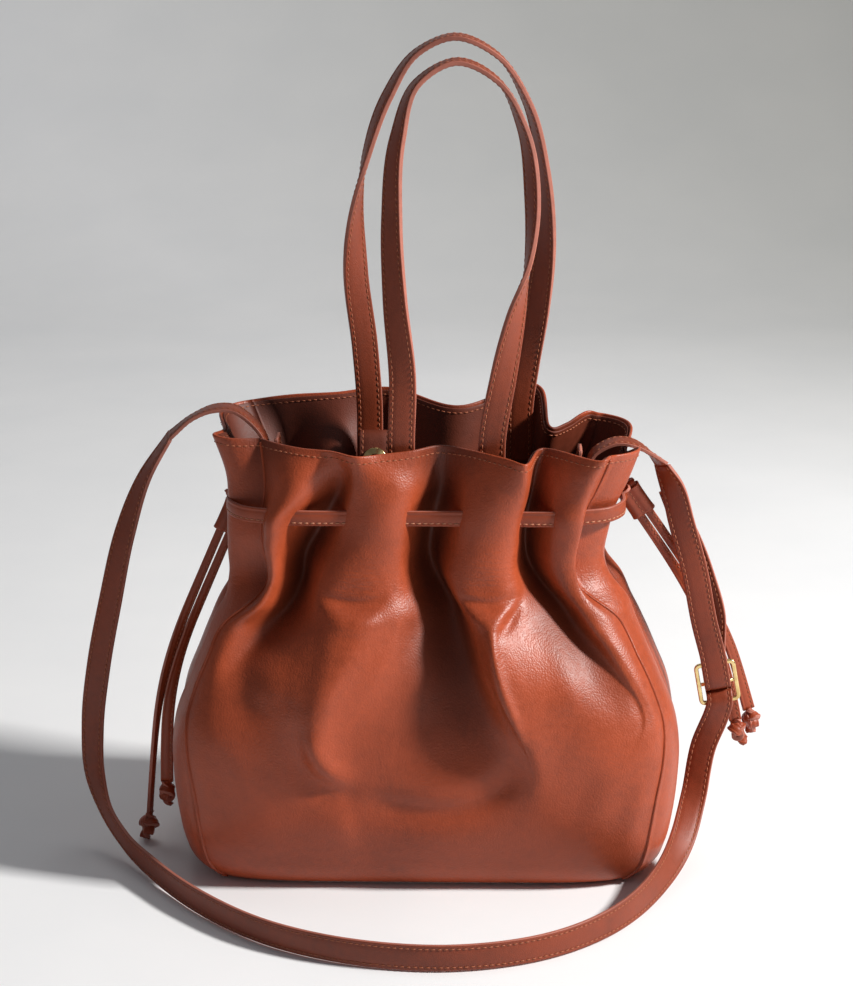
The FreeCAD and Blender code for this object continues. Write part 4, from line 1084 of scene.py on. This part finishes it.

# %% [markdown]
# ## The drawstring round the neck
# One lace runs round the front and one round the back, through slots in the pipes, so it shows only
# across the valleys. At each side it turns up to the slider. That turn is a separate piece that
# runs from the bag to the tassel.

# %% Drawstring laces
LACE_LEVEL, LACE_WIDTH, DRAW_THICK, DRAW_INSET = 256.0, 10.5, 2.4, 2.2
FRONT_FINISH, BACK_FINISH = 9.0, 15.0
REACH, RUN = 133.0, 54.5
STANDING = (0, 0, 1)
for sign, side, ends in ((-1, "front", ("left_tail_long", "right_tail_front")),
                         (1, "back", ("left_tail_short", "right_tail_back"))):
    # The back lace stops short of the slider, which swings that way.
    finish = FRONT_FINISH if sign < 0 else BACK_FINISH
    plan = [(-1.0, finish), (-0.996, 27), (-0.93, 42), (-0.74, RUN - 2), (-0.3, RUN), (0.3, RUN),
            (0.74, RUN - 2),
            (0.93, 42), (0.996, 27), (1.0, finish)]
    stations = [((share * REACH, sign * y, LACE_LEVEL), STANDING) for share, y in plan]
    frames = ribbon_frames(stations)
    lace = ribbon_piece(side + "_drawstring_lace", frames, LACE_WIDTH, DRAW_THICK, "bag", lace_leather,
                        "lace_leather",
                        DRAW_INSET)
    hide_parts(side + "_drawstring")
    stitch_piece(side + "_drawstring_stitches",
                 ribbon_stitches(frames, LACE_WIDTH, DRAW_THICK, DRAW_INSET, (-1,)), "bag", pale_thread)
    for end, tail in ((-1, ends[0]), (1, ends[1])):
        start = np.array(TAIL_ROUTES[tail][0]) / MM
        down = unit(np.array(TAIL_ROUTES[tail][1]) / MM - start)
        last = np.array([end * REACH, sign * finish, LACE_LEVEL])
        turn = [(last + (0, sign * 3, 0), STANDING),
                (last + (end * 0.8, -sign * 2.5, 0.4), (0.1 * end, 0.1, 1)),
                ((last + start) / 2 + (end * 2.4, 0, 3.0), (end * 0.5, 0, 0.9)),
                (start - down * 1.5, tuple(ALONG_LEFT if end < 0 else ALONG_RIGHT)),
                (start + down * 3.0, tuple(ALONG_LEFT if end < 0 else ALONG_RIGHT))]
        if np.dot(turn[2][1], turn[3][1]) < 0:
            turn = turn[:3] + [(p, tuple(-np.array(w))) for p, w in turn[3:]]
        shares = np.linspace(1.0, 0.62, len(ribbon_frames(turn, 1.2)[0]))
        bend = ribbon_piece(tail + "_turn", ribbon_frames(turn, 1.2), LACE_WIDTH - 0.5, DRAW_THICK, None,
                            lace_leather, "lace_leather", DRAW_INSET, shares)
        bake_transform(bend)
print("drawstring: 2 laces, 4 turns")

# %% [markdown]
# ## Top handles
# Each handle is a flat strap of two plies, sewn along both edges. It rises out of the mouth, leans
# over and comes back down, twisting because its two ends are sewn facing the same way. It goes on
# below the rim, where it is stitched to the facing, so one strap shows both parts.

# %% Handles
HANDLE_WIDTH, HANDLE_THICK = 18.0, 3.4
HINGE_LEVEL = 303.0


def level_way(angle):
    return (math.cos(math.radians(angle)), math.sin(math.radians(angle)), 0.0)


HANDLE_ROUTES = {
    "front": (-41.0, [((-16, -41, HINGE_LEVEL), 0), ((-15, -40, 345), -8), ((-20, -36, 400), -32),
                      ((-22, -31, 450), -46), ((-18, -27, 504), -62), ((-6, -23, 538), -80),
                      ((20, -21, 552), -90),
                      ((47, -22, 539), -86), ((62, -25, 511), -72), ((69, -29, 466), -63),
                      ((67, -33, 425), -84),
                      ((59, -37, 389), -130), ((51, -40, 348), -165), ((44, -41, HINGE_LEVEL), -180)]),
    "back": (42.0, [((-40, 42, HINGE_LEVEL), -180), ((-43, 43, 348), -172), ((-49, 40, 403), -150),
                    ((-48, 35, 445), -112), ((-41, 30, 482), -80), ((-26, 25, 524), -72),
                    ((-6, 21, 553), -84),
                    ((18, 20, 563), -90), ((46, 21, 551), -86), ((66, 25, 520), -76), ((77, 31, 474), -64),
                    ((80, 36, 430), -50), ((75, 42, 378), -22), ((68, 44, 335), -6),
                    ((64, 42, HINGE_LEVEL), 0)]),
}
for side, (leg_y, route) in HANDLE_ROUTES.items():
    stations = [(centre, level_way(angle)) for centre, angle in route]
    foot, top = stations[0], stations[-1]
    stations = ([((foot[0][0], leg_y, 267), foot[1]), ((foot[0][0], leg_y, 285), foot[1])] + stations
                + [((top[0][0], leg_y, 285), top[1]), ((top[0][0], leg_y, 267), top[1])])
    frames = ribbon_frames(stations, 3.0)
    handle = ribbon_piece(side + "_handle_strap", frames, HANDLE_WIDTH, HANDLE_THICK, None, strap_leather,
                          "strap_leather")
    sewing = stitch_piece(side + "_handle_stitches", ribbon_stitches(frames, HANDLE_WIDTH, HANDLE_THICK),
                          None)
    for piece in (handle, sewing):
        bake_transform(piece)
    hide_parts(side + "_handle", side + "_handle_ends")
    print(side, "handle %.0f mm" % lengths_along(frames[0])[-1])

# %% [markdown]
# ## Shoulder strap
# The long part runs from the left ring out over the rim, down to the floor, round the front and up
# to the buckle, where it weaves over the centre bar and ends in a free tip. The short part comes
# from the right ring and folds round the same bar. Both are two plies with a stitch row near each edge.
# Each is cut into two pieces just outside its ring.

# %% Shoulder strap
STRAP_WIDTH, STRAP_THICK = 18.0, 2.6
ACROSS_Y, UPRIGHT, BUCKLED = (0, -1, 0), (0, 0, 1), (-1, 0, -0.19)
LEFT_START = [
    ((-101.2, 0, 297), ACROSS_Y), ((-100.6, 0, 286), ACROSS_Y), ((-100.9, 0, 281.8), ACROSS_Y),
    ((-104.2, 0, 278.9), ACROSS_Y), ((-107.5, 0, 281.8), ACROSS_Y), ((-107.8, 0, 286), ACROSS_Y),
    ((-110.5, 0, 297), ACROSS_Y), ((-119, 0, 308), ACROSS_Y), ((-131, 0, 316), ACROSS_Y),
    ((-144, 0, 316), ACROSS_Y),
    ((-158, 0, 310), (0.1, -1, 0.1)), ((-174, 0, 297), (0.25, -1, 0.1)),
]
LONG_RUN = [
    ((-174, 0, 297), (0.25, -1, 0.1)), ((-192, 0, 268), (0.6, -1, 0.1)), ((-207, 0, 228), (1, -0.8, 0)),
    ((-219, 0, 178), (1, -0.5, 0)), ((-229, 0, 130), (1, -0.4, 0)), ((-235, 0, 84), (1, -0.5, 0)),
    ((-234, -6, 52), (0.9, -0.6, 0.2)), ((-225, -20, 30), (0.5, -0.7, 0.6)),
    ((-208, -44, 16), (0.2, -0.5, 1)),
    ((-184, -78, 11), (0.1, -0.2, 1)), ((-146, -126, 9.6), UPRIGHT), ((-98, -168, 9.6), UPRIGHT),
    ((-40, -193, 9.6), UPRIGHT), ((22, -199, 9.6), UPRIGHT), ((80, -182, 9.6), UPRIGHT),
    ((126, -144, 9.8), (-0.1, 0.1, 1)), ((157, -96, 13), (-0.3, 0.3, 1)), ((177, -50, 24), (-0.8, 0.5, 0.7)),
    ((187, -20, 44), (-1, 0.5, 0.3)), ((194, -7, 76), (-1, 0.25, 0)), ((202.8, -3.9, 99), BUCKLED),
    ((204.5, -4.0, 107.0), BUCKLED), ((204.2, -2.2, 111.7), BUCKLED), ((203.8, 2.1, 114.0), BUCKLED),
    ((203.2, 5.7, 117.1), BUCKLED), ((202.4, 6.6, 121.5), BUCKLED), ((199.5, 7.6, 139), (-1, 0.2, 0)),
    ((199, 10, 166), (-1, 0.3, 0)), ((190, 8.6, 196), (-1, 0.2, 0)), ((178, 7, 228), (-1, 0.1, 0)),
    ((164, 8.4, 258), (-1, 0.1, -0.3)),
]
RIGHT_START = [
    ((104.0, 0, 290), ACROSS_Y), ((103.4, 0, 280.2), ACROSS_Y), ((103.7, 0, 276), ACROSS_Y),
    ((107.0, 0, 273.1), ACROSS_Y), ((110.3, 0, 276), ACROSS_Y), ((110.7, 0, 280.2), ACROSS_Y),
    ((113, 0, 285.5), ACROSS_Y), ((120, 0, 291), ACROSS_Y), ((130, 0, 294.4), ACROSS_Y),
    ((139, 0, 293.4), ACROSS_Y),
    ((150, 0, 287.5), (0.1, -1, 0.1)), ((160, 0, 278), (0.5, -0.9, 0.2)),
]
SHORT_RUN = [
    ((160, 0, 278), (0.5, -0.9, 0.2)), ((168, 0, 260), (1, -0.5, 0.3)), ((174, -0.8, 238), (1, -0.2, 0.3)),
    ((184, -2.2, 203), (1, 0, 0.2)), ((192, -2.8, 165), (1, 0, 0.2)), ((199.2, -3.4, 138), (1, 0, 0.19)),
    ((202.5, -3.3, 121), (1, 0, 0.19)), ((203.0, -2.6, 118.1), (1, 0, 0.19)),
    ((203.2, 0, 116.9), (1, 0, 0.19)),
    ((203.0, 2.6, 118.1), (1, 0, 0.19)), ((202.5, 3.2, 121), (1, 0, 0.19)), ((201.0, 3.0, 129), (1, 0, 0.19)),
]


def strap_piece(name, stations, slot_nodes=(), spacing=3.0, shares=None):
    """A stretch of strap riding on the shoulder strap, with its stitches."""
    frames = ribbon_frames(stations, spacing)
    reach_down = np.abs(frames[1][:, 2]) * STRAP_WIDTH / 2 + np.abs(frames[2][:, 2]) * (STRAP_THICK / 2 + 0.5)
    frames[0][:, 2] = np.maximum(frames[0][:, 2], reach_down + 0.3)
    widths = None if shares is None else smooth(np.linspace(0, 1, len(shares)), shares,
                                                np.linspace(0, 1, len(frames[0])))
    strap = ribbon_piece(name, frames, STRAP_WIDTH, STRAP_THICK, "shoulder_strap", strap_leather,
                         "strap_leather",
                         widths=widths)
    stitch_piece(name + "_stitches", ribbon_stitches(frames, STRAP_WIDTH, STRAP_THICK, widths=widths),
                 "shoulder_strap")
    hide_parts(*slot_nodes)
    print(name, "%.0f mm" % lengths_along(frames[0])[-1])


def bending_end(name, stations, slot_node):
    """The stretch from a ring to the pivot, a separate piece between the bag and the strap."""
    frames = ribbon_frames(stations, 2.2)
    strap = ribbon_piece(name, frames, STRAP_WIDTH, STRAP_THICK, None, strap_leather, "strap_leather")
    sewing = stitch_piece(name + "_stitches", ribbon_stitches(frames, STRAP_WIDTH, STRAP_THICK), None)
    for piece in (strap, sewing):
        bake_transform(piece)
    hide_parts(slot_node)


TIP_SHARES = [1.0] * 22 + [0.98, 0.62]
strap_piece("long_strap_leather", LONG_RUN, ("long_strap",), shares=TIP_SHARES)
strap_piece("short_strap_leather", SHORT_RUN, ("short_strap",), spacing=1.6)
bending_end("left_strap_end", LEFT_START, "strap_end_left")
bending_end("right_strap_end", RIGHT_START, "strap_end_right")

# %% [markdown]
# ## Brass hardware
# The buckle, the rings and the prong are cast or bent brass with rounded edges. A square bar with
# its corners eased follows a rounded rectangle; the same helper makes the frame and both rings.

# %% Hardware helpers
def bar_outline(width, thickness, ease):
    """Corner-eased section of a bar, as (across, up)."""
    half, up = width / 2, thickness / 2
    corners = []
    for sx, sz, first in ((1, 1, 0), (-1, 1, 90), (-1, -1, 180), (1, -1, 270)):
        for turn in np.radians(first + np.array([0, 30, 60, 90])):
            corners.append((sx * (half - ease) + ease * math.cos(turn),
                            sz * (up - ease) + ease * math.sin(turn)))
    return np.array(corners)


def rounded_rectangle(width, height, radius):
    """Points round a rectangle with rounded corners, and outward directions, in its plane."""
    points, ways = [], []
    for sx, sy, first in ((1, 1, 0), (-1, 1, 90), (-1, -1, 180), (1, -1, 270)):
        for turn in np.radians(first + np.linspace(0, 90, 6)):
            way = (math.cos(turn), math.sin(turn))
            points.append((sx * (width / 2 - radius) + radius * way[0],
                           sy * (height / 2 - radius) + radius * way[1]))
            ways.append(way)
    return np.array(points), np.array(ways)


def plane_of(centre, x_way, y_way):
    x_way = unit(np.array(x_way, float))
    y_way = np.array(y_way, float)
    y_way = unit(y_way - x_way * np.dot(y_way, x_way))
    return np.array(centre, float), x_way, y_way, np.cross(x_way, y_way)


def bar_loop(plane, width, height, radius, bar, thickness, ease):
    """A closed bar along a rounded rectangle: rows of section points, the last row meeting the first."""
    centre, x_way, y_way, out = plane
    points, ways = rounded_rectangle(width - bar, height - bar, radius)
    outline = bar_outline(bar, thickness, ease)
    rows = []
    for (px, py), (wx, wy) in zip(points, ways):
        middle = centre + x_way * px + y_way * py
        way = x_way * wx + y_way * wy
        rows.append(middle + way * outline[:, :1] + out * outline[:, 1:])
    rows.append(rows[0])
    return np.array(rows)


def straight_bar(plane, start, end, bar, thickness, ease):
    centre, x_way, y_way, out = plane
    outline = bar_outline(bar, thickness, ease)
    rows = [centre + x_way * at + y_way * outline[:, :1] + out * outline[:, 1:] for at in np.linspace(start,
                                                                                                      end, 6)]
    return np.array(rows)


def ring_faces(rows):
    return row_faces(rows.shape[0], rows.shape[1], ring=True)


def tube_rows(line, radius):
    """A round tube along a line."""
    run = unit(np.gradient(line, axis=0))
    side = unit(np.cross(run, (0.31, 0.87, 0.38)))
    other = np.cross(run, side)
    turns = np.linspace(0, 2 * math.pi, 14, endpoint=False)
    return line[:, None] + side[:, None] * (np.cos(turns) * radius)[None, :, None] \
        + other[:, None] * (np.sin(turns) * radius)[None, :, None]


# %% [markdown]
# ## Buckle and prong
# The frame has a bar across its middle. The folded short strap and the prong's eye sit round it,
# and the long strap passes in front of it and behind it. The frame is plated and polished,
# so its corners catch thin bright lines. The prong is a round pin with a rounded tip.

# %% Buckle and prong
BUCKLE_CENTRE, BUCKLE_ACROSS, BUCKLE_UP = (202.6, 0.0, 120.4), (1, 0, 0.19), (-0.19, 0, 1)
buckle_plane = plane_of(BUCKLE_CENTRE, BUCKLE_ACROSS, BUCKLE_UP)
outer = bar_loop(buckle_plane, 29.0, 31.0, 2.6, 3.0, 2.4, 0.7)
centre_bar = straight_bar(buckle_plane, -11.4, 11.4, 2.4, 2.4, 0.8)
points, faces = joined([(outer, ring_faces(outer)), (centre_bar, capped(centre_bar))])
buckle = make_piece("buckle_brass", points * MM, faces, [brass_metal], "shoulder_strap")
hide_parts("buckle_frame")
centre, x_way, y_way, out = buckle_plane
turns = np.linspace(0, 2 * math.pi, 28)
EYE_RADIUS = 2.45
eye = np.array([centre + (y_way * math.cos(t) + out * math.sin(t)) * EYE_RADIUS for t in turns])
eye_outline = bar_outline(3.0, 1.0, 0.4)
eye_rows = np.array([p + x_way * eye_outline[:, :1] + unit(p - centre) * eye_outline[:, 1:] for p in eye])
back_way = out if out[1] > 0 else -out
lean = unit(back_way * 0.5 + y_way * 0.866)
pin_at = np.array([2.4, 6, 12, 16.0, 17.4, 18.2, 18.6])
pin_line = centre + lean * pin_at[:, None]
pin_rows = tube_rows(pin_line, 1.0)
for index, share in enumerate([1.15, 1, 1, 1, 0.86, 0.55, 0.12]):
    pin_rows[index] = pin_line[index] + (pin_rows[index] - pin_line[index]) * share
points, faces = joined([(eye_rows, ring_faces(eye_rows)), (pin_rows, capped(pin_rows))])
prong = make_piece("prong_brass", points * MM, faces, [brass_metal], "buckle_prong")
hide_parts("buckle_prong")
print("buckle and prong made")

# %% [markdown]
# ## Rings and their tabs
# At each side, just below the rim, a brass ring holds the strap. Its own leather tab passes over
# the ring's lower bar and both its plies are sewn to the wall. The upper and lower bars
# are parallel, so the strap can't slip sideways.

# %% Rings and tabs
RING_TAB = (19.2, 2.2)
RINGS = (("left_ring", (-104.2, 0, 277.4), -1), ("right_ring", (107.0, 0, 271.6), 1))
for name, centre, outward in RINGS:
    plane = plane_of(centre, (0, 1, 0), (0, 0, 1))
    rows = bar_loop(plane, 26.0, 15.0, 2.4, 2.8, 2.8, 0.9)
    ring = make_piece(name + "_brass", rows.reshape(-1, 3) * MM, ring_faces(rows), [brass_metal], "bag")
    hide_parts(name)
    x, bar = centre[0], centre[2] - 6.1
    stations = [((x - outward * 1.8, 0, bar - 26), ACROSS_Y), ((x - outward * 2.2, 0, bar - 12), ACROSS_Y),
                ((x - outward * 3.4, 0, bar - 2), ACROSS_Y), ((x - outward * 3.2, 0, bar + 1.6), ACROSS_Y),
                ((x, 0, bar + 4.0), ACROSS_Y), ((x + outward * 3.2, 0, bar + 1.6), ACROSS_Y),
                ((x + outward * 3.4, 0, bar - 2), ACROSS_Y), ((x + outward * 2.2, 0, bar - 12), ACROSS_Y),
                ((x + outward * 1.8, 0, bar - 26), ACROSS_Y)]
    frames = ribbon_frames(stations, 1.5)
    tab = ribbon_piece(name + "_tab_leather", frames, *RING_TAB, "bag", strap_leather, "strap_leather", 2.2)
    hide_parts(name + "_tab")
    stitch_piece(name + "_tab_stitches", ribbon_stitches(frames, *RING_TAB, 2.2), "bag")
print("rings:", [name for name, _, _ in RINGS])

# %% [markdown]
# ## Snap tabs inside the mouth
# A magnetic snap on two short tabs closes the top. Each half is riveted through its tab, with
# a washer behind. The tabs hang down inside. The stud has a raised ring, and the socket has a
# dished centre.

# %% Snap tabs and snap halves
TAB_X, SNAP_TAB = -36.0, (22.0, 2.2)
SNAP_LINES = {"back": [(38.6, 290), (34.5, 288), (29.5, 279), (27, 266), (26, 250)],
              "front": [(-37.5, 288), (-34.5, 283), (-31.5, 270), (-30.5, 250)]}
SNAPS = {"back": ((TAB_X, 28.1, 272.4), (0, -0.97, 0.22)), "front": ((TAB_X, -31.4, 268.0), (0, 0.99, 0.06))}
PROFILES = {"back": [(0.0, 0.4), (3.2, 0.4), (3.9, 1.15), (4.8, 1.15), (5.4, 0.5), (8.0, 0.5), (8.5, 0.0),
                     (8.5, -0.9)],
            "front": [(0.0, 0.0), (3.6, 0.05), (4.5, 0.85), (7.7, 0.85), (8.4, 0.45), (8.5, -0.4),
                      (8.5, -0.9)]}


def disc_rows(centre, way, profile):
    """A turned disc: a profile of (radius, height) carried round its axis."""
    centre, way = np.array(centre, float), unit(np.array(way, float))
    side = unit(np.cross(way, (1, 0.02, 0)))
    other = np.cross(way, side)
    turns = np.linspace(0, 2 * math.pi, 40, endpoint=False)
    circle = np.cos(turns)[:, None] * side + np.sin(turns)[:, None] * other
    return np.array([centre + way * height + circle * max(radius, 0.02) for radius, height in profile])


for side, line in SNAP_LINES.items():
    frames = ribbon_frames([((TAB_X, y, z), (1, 0, 0)) for y, z in line], 1.8)
    # the snap tabs use the facing leather, painted dark as shade inside the mouth
    tab = ribbon_piece(side + "_snap_tab_leather", frames, *SNAP_TAB, side + "_snap_tab", facing_leather,
                       "facing_leather", 2.4)
    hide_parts(side + "_snap_tab")
    stitch_piece(side + "_snap_tab_stitches", ribbon_stitches(frames, *SNAP_TAB, 2.4), side + "_snap_tab")
    centre, way = SNAPS[side]
    way = unit(np.array(way, float))
    for name, place, profile in (("snap_stud" if side == "back" else "snap_socket",
                                  np.array(centre) + way * 2.7, PROFILES[side]),
                                 (side + "_snap_washer", np.array(centre) - way * 1.5,
                                  [(0.0, 0.5), (5.4, 0.5), (5.9, 0.1), (5.9, -0.3)])):
        flip = way if "washer" not in name else -way
        rows = disc_rows(place, flip, profile)
        disc = make_piece(name + "_brass", rows.reshape(-1, 3) * MM, capped(rows), [brass_metal],
                          side + "_snap_tab")
        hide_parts(name)
print("snap tabs: 2")

# %% [markdown]
# ## Floor and light
# A pale sweep of paper stands behind and under the bag. One strong light from the upper right, not
# too large, models the pipes and throws the long shadow to the left; the pale surroundings fill
# the rest. The sweep is one curved sheet, so no corner shows behind the bag. Its colour is painted
# darker towards the back and the right: painted shade where the light falls off.

# %% Floor, backdrop and lights
SWEEP_START, SWEEP_RADIUS = 1.6, 1.2
QUARTER = SWEEP_RADIUS * math.pi / 2


def sweep_place(back):
    """How far back and how high the sweep is: level, then curving up behind the bag."""
    if back < SWEEP_START:
        return back, 0.0
    turn = min((back - SWEEP_START) / SWEEP_RADIUS, math.pi / 2)
    rise = SWEEP_RADIUS * (1 - math.cos(turn)) + max(0.0, back - SWEEP_START - QUARTER)
    return SWEEP_START + SWEEP_RADIUS * math.sin(turn), rise


sweep = []
for back in np.concatenate([[-4.0, -1.0, 0.0, 1.0], np.linspace(SWEEP_START, SWEEP_START + QUARTER, 24),
                            [6.0]]):
    sweep.append([(x, *sweep_place(back)) for x in (-5.0, 5.0)])
sweep = np.array(sweep)
paper, tree, shader = new_material("pale_paper")
place = add(tree, "ShaderNodeTexCoord").outputs["Object"]
fibres = add(tree, "ShaderNodeTexNoise", {"Vector": place, "Scale": 6, "Detail": 5}).outputs[0]
pale = ramp(tree, fibres, [(0.3, (0.82, 0.825, 0.83)), (0.7, (0.86, 0.86, 0.86))])
parts = add(tree, "ShaderNodeSeparateXYZ", {0: place})
# painted shade: the paper's colour darkens towards the back and the right of the sweep
far = maths(tree, "ADD", maths(tree, "MULTIPLY", parts.outputs[1], 0.15),
            maths(tree, "MULTIPLY", parts.outputs[0], 0.2))
painted_falloff_shade = ramp(tree, far, [(0.0, (1, 1, 1)), (0.2, (0.97, 0.97, 0.97)), (0.4, (0.62, 0.62, 0.6)),
                           (0.65, (0.33, 0.325, 0.3))])
paper_with_painted_shade = add(tree, "ShaderNodeMix", {"Factor": 1.0, 6: pale, 7: painted_falloff_shade}, data_type="RGBA",
             blend_type="MULTIPLY")
tree.links.new(paper_with_painted_shade.outputs[2], shader.inputs["Base Color"])
shader.inputs["Roughness"].default_value = 0.8
floor = make_piece("paper_sweep", sweep.reshape(-1, 3), row_faces(len(sweep), 2), [paper])
floor.location.z = -0.0004


def area_light(name, place, aim_at, power, width, colour=(1, 1, 1)):
    data = bpy.data.lights.new(name, "AREA")
    data.energy, data.size, data.color = power, width, colour
    light = bpy.data.objects.new(name, data)
    bpy.context.scene.collection.objects.link(light)
    light.location = place
    light.rotation_mode = "QUATERNION"
    light.rotation_quaternion = (Vector(aim_at) - Vector(place)).to_track_quat("-Z", "Y")


area_light("key_light", (2.1, -0.52, 1.72), (0, 0, 0.2), 112, 0.30, (1.0, 0.985, 0.965))
area_light("front_fill", (-1.2, -2.6, 1.4), (0, 0, 0.2), 1.2, 1.8)
area_light("top_fill", (-0.2, 0.9, 2.8), (0, 0.1, 0.2), 12, 1.6)
world = bpy.data.worlds.new("studio")
world.use_nodes = True
world.node_tree.nodes["Background"].inputs[0].default_value = (0.86, 0.9, 1.0, 1)
world.node_tree.nodes["Background"].inputs[1].default_value = 0.13
bpy.context.scene.world = world
bpy.context.scene.view_settings.view_transform = "Standard"
print("lights: 3")
